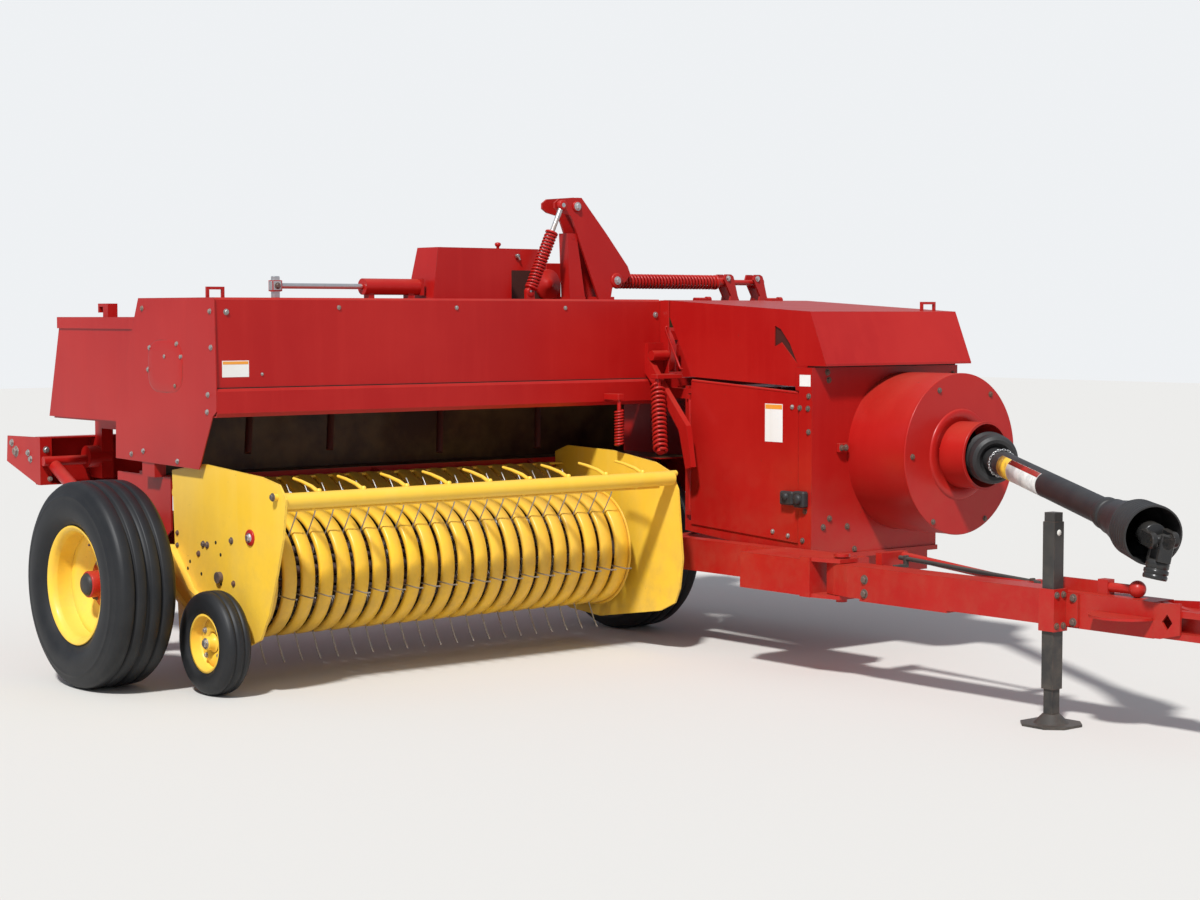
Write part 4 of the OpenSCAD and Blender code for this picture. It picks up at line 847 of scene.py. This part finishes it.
def drum_details():
    """Bolts and rings on the flywheel guard's face."""
    rows = [((x, DRUM_FACE, z), FRONT, 0.008) for x, z in
            ((-0.119, 1.012), (0.165, 0.992), (-0.148, 0.525), (0.14, 0.521), (-0.262, 0.771),
             (0.262, 0.771))]
    bolts("drum_bolts", RUSTY, rows, slot="iron")
    form = Form("drum_rings")
    centre = at(0, DRUM_FACE, DRUM_Z)
    # Raised ring round the collar, the drum's rolled front edge, and the collar's own edge
    form.lathe([(0.17, 0.0), (0.168, 0.004), (0.163, 0.006), (0.124, 0.006), (0.1238, 0.0)],
               centre, FRONT, 96)
    form.lathe([(DRUM_R - 0.006, -0.001), (DRUM_R - 0.001, 0.0006), (DRUM_R + 0.0012, -0.001),
                (DRUM_R + 0.0014, -0.006), (DRUM_R + 0.0002, -0.01)], centre, FRONT, 128)
    form.lathe([(0.1241, 0.125), (0.127, 0.1265), (0.1275, 0.12), (0.1238, 0.116)], centre,
               FRONT, 96)


def pickup_details():
    """Fasteners of the pickup's side plates, and dark spots of painted shade at their drilled
    holes.
    """
    face = PLATE_RIGHT
    rows = [((face, y, z), RIGHT, size) for y, z, size in (
        (-0.182, 0.492, 0.009), (-0.21, 0.491, 0.009), (-0.376, 0.519, 0.009),
        (-0.149, 0.456, 0.008), (-0.389, 0.372, 0.008), (0.002, 0.518, 0.007),
        (0.003, 0.474, 0.007))]
    rows += [((PLATE_LEFT + 0.0002, y, z), (1, 0, 0), 0.009) for y, z in
             ((-0.494, 0.612), (-0.381, 0.563))]
    bolts("pickup_bolts", RUSTY, rows, "pickup")
    # Boss washer with its bolt, and the dark pin of the wind guard's arm
    form = Form("pickup_boss", RED, "pickup")
    form.lathe([(0.0, 0.006), (0.026, 0.006), (0.028, 0.004), (0.028, 0.0)],
               (face, -0.503, 0.539), RIGHT, 32)
    bolts("pickup_boss_bolt", BRIGHT, [((face - 0.006, -0.503, 0.539), RIGHT, 0.012)], "pickup")
    bolts("guard_pin_ends", RUSTY, [((face - 0.016, -0.677, 0.688), RIGHT, 0.0105)],
          "crop_guard")
    # Drilled holes drawn as dark spots: painted shade inside the holes
    form = Form("pickup_hole_shade", HOLE_AND_GAP_SHADE, "pickup", "steel")
    for y, z in ((-0.268, 0.504), (-0.301, 0.464), (-0.086, 0.423), (-0.07, 0.397),
                 (-0.166, 0.386), (-0.279, 0.389), (-0.303, 0.363)):
        form.lathe([(0.0, 0.0004), (0.0065, 0.0004), (0.0068, 0.0)], (face, y, z), RIGHT, 16)


def rear_details():
    """Bolts of the rear beam's end plate."""
    rows = [((-2.478, y, z), RIGHT, size) for y, z, size in (
        (1.37, 0.778, 0.011), (1.333, 0.745, 0.016), (1.223, 0.744, 0.01),
        (1.201, 0.72, 0.01))]
    rows += [((-2.452, 1.116, 0.76), FRONT, 0.01), ((-2.437, 1.116, 0.645), FRONT, 0.008)]
    bolts("rear_bolts", STEEL, rows)


def drawbar_details():
    """Bolts of the tongue and of the jack's clamp, and the black rod on the far side."""
    side = TONGUE_RIGHT
    jack_x, jack_y = JACK
    rows = [((side, -1.723, z), RIGHT, 0.012) for z in (0.38, 0.331)]
    rows += [((side - 0.008, jack_y + s * 0.06, z), RIGHT, 0.01) for s in (-1, 1)
             for z in (0.406, 0.33)]
    rows += [((x, jack_y - 0.031, z), FRONT, 0.008) for x in (-0.828, -0.796)
             for z in (0.416, 0.318)]
    bolts("drawbar_bolts", RUSTY, rows, "drawbar")
    # Black rod along the far side, on two lugs
    form = Form("far_rod", BLACK_PAINT, "drawbar", "black_paint")
    y0, y1 = -1.735, -2.358
    form.tube([(-0.612, y0, 0.447), (-0.612, y1, 0.415)], 0.008, 14)
    for y, z in ((y0 - 0.03, 0.445), (y1 + 0.03, 0.4165)):
        form.block((-0.622, y - 0.006, z - 0.02), (-0.602, y + 0.006, z + 0.012))
        form.block((TONGUE_LEFT, y - 0.006, z - 0.03), (-0.602, y + 0.006, z - 0.018))
    # Crank boss and blank round plate on the jack
    Form("jack_disc", WHITE, "drawbar", "black_plastic").lathe(
        [(0.0, 0.0012), (0.009, 0.0012), (0.0098, 0.0)], (jack_x, jack_y - 0.023, 0.611),
        FRONT, 24)


def shaft_details():
    """Blank band round the guard's tube, and the fine ridges of its front cone."""
    axis = PTO_VEC.normalized()
    length = PTO_VEC.length
    start = at(*PTO_REAR)
    side = axis.cross(Vector((0, 0, 1))).normalized()
    top = side.cross(axis).normalized()

    def wrap(name, material, near, far, low, high, radius):
        form = Form(name, material, "shaft_guard", "black_plastic")
        rings = []
        for k in range(25):
            a = math.radians(low + (high - low) * k / 24)
            out = math.cos(a) * side + math.sin(a) * top
            rings.append([start + axis * w + out * r for w, r in (
                (near, radius), (far, radius), (far, radius - 0.0008), (near, radius - 0.0008))])
        form.sweep(rings)

    wrap("shaft_band", WHITE, 0.238, 0.63, -75, 60, 0.0458)
    wrap("shaft_band_edge", YELLOW, 0.238, 0.335, -74, 59, 0.0462)
    wrap("shaft_band_top", RED, 0.337, 0.628, 34, 59, 0.0462)
    form = Form("guard_ridges", PLASTIC, "shaft_guard", "black_plastic")
    cone = length - 0.44
    for i in range(7):
        r = 0.0898 + 0.0006 * i
        z = cone + 0.196 + 0.019 * i
        form.lathe([(r - 0.001, z - 0.004), (r + 0.0012, z - 0.002), (r + 0.0016, z),
                    (r + 0.0012, z + 0.002), (r - 0.001, z + 0.004)], start, axis, 72)
    # Bearing band behind the cone
    form.lathe([(0.0449, cone - 0.06), (0.052, cone - 0.058), (0.0535, cone - 0.05),
                (0.0535, cone - 0.022), (0.052, cone - 0.014), (0.0449, cone - 0.012)],
               start, axis, 64)
    # Bright chain loop round the neck in front of the bell
    form = Form("neck_chain", BRIGHT, "shaft_guard", "steel")
    links = 30
    for k in range(links):
        a = 2 * math.pi * k / links
        out = math.cos(a) * side + math.sin(a) * top
        way = -math.sin(a) * side + math.cos(a) * top
        centre = start + axis * 0.17 + out * 0.049
        flat = axis if k % 2 else out
        loop = [centre + u for u in circle(way * 0.0072, flat * 0.0034, 12)]
        rings = []
        for q, p in enumerate(loop):
            along = (loop[(q + 1) % 12] - loop[q - 1]).normalized()
            square = flat.cross(way).normalized()
            rings.append([p + 0.0013 * u for u in circle(square, along.cross(square), 6)])
        form.sweep(rings, False, True, True)


def power_shaft():
    """Shaft inside the guard with its round joint behind and its two yokes in front."""
    yaw = math.atan2(-PTO_VEC[0], -PTO_VEC[1])
    pitch = math.asin(-PTO_VEC[2] / PTO_VEC.length)
    length = PTO_VEC.length
    shaft = (Matrix.Translation(at(*PTO_REAR)) @ Matrix.Rotation(-yaw, 4, "Z")
             @ Matrix.Rotation(pitch, 4, "X") @ Matrix.Rotation(math.radians(90), 4, "X"))
    joint = shaft @ Matrix.Translation((0, 0, length - 0.05))
    hanging = (joint @ Matrix.Rotation(math.radians(90) - pitch, 4, "X")
               @ Matrix.Rotation(math.radians(-12), 4, "Y"))
    form = Form("power_shaft_form", GLOSS_BLACK, "power_shaft", "steel", "pto_shaft")

    def turned(frame_of, profile, axis=(0, 0, 1), segments=48):
        form.lathe(profile, frame_of.translation, frame_of.to_3x3() @ Vector(axis), segments)

    def ear(frame_of, along_x, offset, half, start, tip, radius):
        """Flat ear with a round end; its plane stands across the pin."""
        outline = [(-half, start), (-half * 0.96, tip - radius * 0.7)]
        outline += [(radius * math.cos(a), tip + radius * math.sin(a)) for a in
                    [math.pi - math.pi * k / 14 for k in range(15)]]
        outline += [(half * 0.96, tip - radius * 0.7), (half, start)]
        rings = []
        for shrink, d in ((0.9, -0.009), (1.0, -0.006), (1.0, 0.006), (0.9, 0.009)):
            ring = []
            for u, w in outline:
                u, w = u * shrink, start + (w - start) * (1.0 if shrink == 1.0 else 0.985)
                place = (offset + d, u, w) if along_x else (u, offset + d, w)
                ring.append(frame_of @ Vector(place))
            rings.append(ring)
        form.sweep(rings, True, False)

    # Round joint behind, shaft, and the hub of the front yoke
    turned(shaft, [(JOINT_R * math.sin(a), -JOINT_R * math.cos(a)) for a in
                   [math.pi * k / 24 for k in range(25)]])
    turned(shaft, [(0.025, 0.0), (0.025, length - 0.17), (0.037, length - 0.168),
                   (0.04, length - 0.164), (0.04, length - 0.112), (0.036, length - 0.108),
                   (0.0, length - 0.108)])
    for s in (-1, 1):
        ear(joint, True, s * 0.034, 0.024, -0.062, 0.002, 0.0245)
        ear(hanging, False, s * 0.034, 0.022, 0.066, 0.002, 0.0225)
    # Cross with its bearing caps
    for where, axis, reach, radius in ((joint, (1, 0, 0), 0.0425, 0.0165),
                                       (hanging, (0, 1, 0), 0.0425, 0.014)):
        turned(where, [(0.0, -reach), (radius * 0.7, -reach), (radius, -reach + 0.003),
                       (radius, reach - 0.003), (radius * 0.7, reach), (0.0, reach)],
               axis, 32)
    turned(joint, [(0.0, -0.02), (0.016, -0.016), (0.02, 0.0), (0.016, 0.016), (0.0, 0.02)],
           segments=24)
    # Barrel of the hanging yoke: neck, ring grooves and lock collar, open at its end
    turned(hanging, [(0.0, 0.062), (0.03, 0.06), (0.0345, 0.064), (0.036, 0.072),
                     (0.036, 0.084), (0.0335, 0.086), (0.0335, 0.089), (0.038, 0.091),
                     (0.038, 0.101), (0.035, 0.103), (0.035, 0.106), (0.0375, 0.108),
                     (0.0375, 0.116), (0.035, 0.12), (0.02, 0.12), (0.0175, 0.117),
                     (0.0175, 0.062), (0.0, 0.062)])


def hood_seams():
    """Lever rod, and the plates and edges that close the front hood's seams; the dark ones are
    painted shade.
    """
    form = Form("lever_rod")
    x = COVER_X - 0.009
    form.tube([(COVER_X + 0.001, -0.352, 1.246), (x, -0.348, 1.243), (x, -0.344, 1.236),
               (x, -0.43, 1.086), (x, -0.434, 1.08), (COVER_X + 0.001, -0.436, 1.077)],
              0.0042)
    # Painted shade: a dark sheet inside the hood behind its side cut stands for the shade there.
    Form("hood_shade", SHADED_RED, "housing_hood").block((-0.4745, -1.098, 1.106),
                                                       (-0.472, -0.94, 1.262), 0.0008)
    # Painted shade: dark strips along the housing's top stand for the shade under the hood's
    # skirt.
    form = Form("housing_gap_shade", SHADED_RED)
    form.block((-0.4768, -1.1705, 1.08), (0.3, -1.1665, 1.124), 0.001)
    form.block((-0.4768, -1.1705, 1.08), (-0.4748, -0.965, 1.1045), 0.0005)
    Form("hood_end_flange").block((-0.487, -0.362, 1.03), (-0.4825, -0.306, 1.349), 0.001)


def top_fittings():
    """Pins of the tower, the metering rod's bright parts, and what sits round the top box."""
    form = Form("tower_bosses")
    pins = ((-0.518, 1.43, 0.03), (-0.725, 1.723, 0.022))
    for x, z, r in pins:
        form.lathe([(0.0, 0.006), (r - 0.003, 0.006), (r, 0.004), (r, 0.0)],
                   (x, -0.075, z), FRONT, 36)
    bolts("tower_pins", BRIGHT, [((x, -0.081, z), FRONT, 0.0125) for x, z, r in pins])
    form = Form("metering_bright", BRIGHT, "chassis", "steel")
    form.tube([(-2.028, 0.04, 1.398), (-1.676, 0.04, 1.398)], 0.0103, 24)
    form.block((-2.0715, 0.0235, 1.3765), (-2.0285, 0.0565, 1.4195), 0.006)
    form.block((-2.0635, 0.0285, 1.3522), (-2.0365, 0.0515, 1.4335), 0.003)
    bolts("metering_pin", RUSTY, [((-2.05, 0.0235, 1.398), FRONT, 0.009)])
    Form("box_knob").lathe([(0.0, 0.026), (0.01, 0.024), (0.013, 0.018), (0.01, 0.011),
                            (0.006, 0.008), (0.006, -0.004)], (-1.04, 0.03, 1.551), (0, 0, 1), 28)
    form = Form("box_latch", STEEL, "chassis", "steel")
    form.lathe([(0.0, 0.01), (0.008, 0.01), (0.009, 0.0)], (-0.99, -0.03, 1.522), FRONT, 24)
    form.tube([(-1.004, -0.038, 1.525), (-0.992, -0.04, 1.521), (-0.984, -0.04, 1.508)],
              0.0045, 12)
    # Painted shade: a dark plate in the recess beside the top box stands for its shade.
    Form("recess_shade", SHADED_RED).block((-1.0175, 0.099, 1.3522), (-0.745, 0.103, 1.499), 0.001)
    form = Form("drive_cover")
    form.lathe([(0.0, 0.02), (0.022, 0.02), (0.024, 0.012), (0.058, 0.01), (0.061, 0.006),
                (0.061, -0.006)], (-0.742, 0.094, 1.414), FRONT, 56)
    form.block((-0.748, 0.0945, 1.3522), (-0.672, 0.1005, 1.5))
    # Painted shade: a dark strip stands for the shaded gap between the feeder's hood and its lip
    Form("hood_seam", HOLE_AND_GAP_SHADE).block((-2.5, -0.3118, 1.0362), (-0.49, -0.3098, 1.0415), 0.0004)


make_camera()
make_light()
dress_cad()
main_wheel("right", RIGHT_WHEEL, "right_wheel", -1)
main_wheel("left", LEFT_WHEEL, "left_wheel", -1)
gauge_wheel()
strippers()
reel()
wind_guard()
tower_spring()
stroke_spring()
lift_springs()
hood_details()
cover_details()
drum_details()
pickup_details()
rear_details()
drawbar_details()
shaft_details()
power_shaft()
hood_seams()
top_fittings()
for form in FORMS:
    form.build()
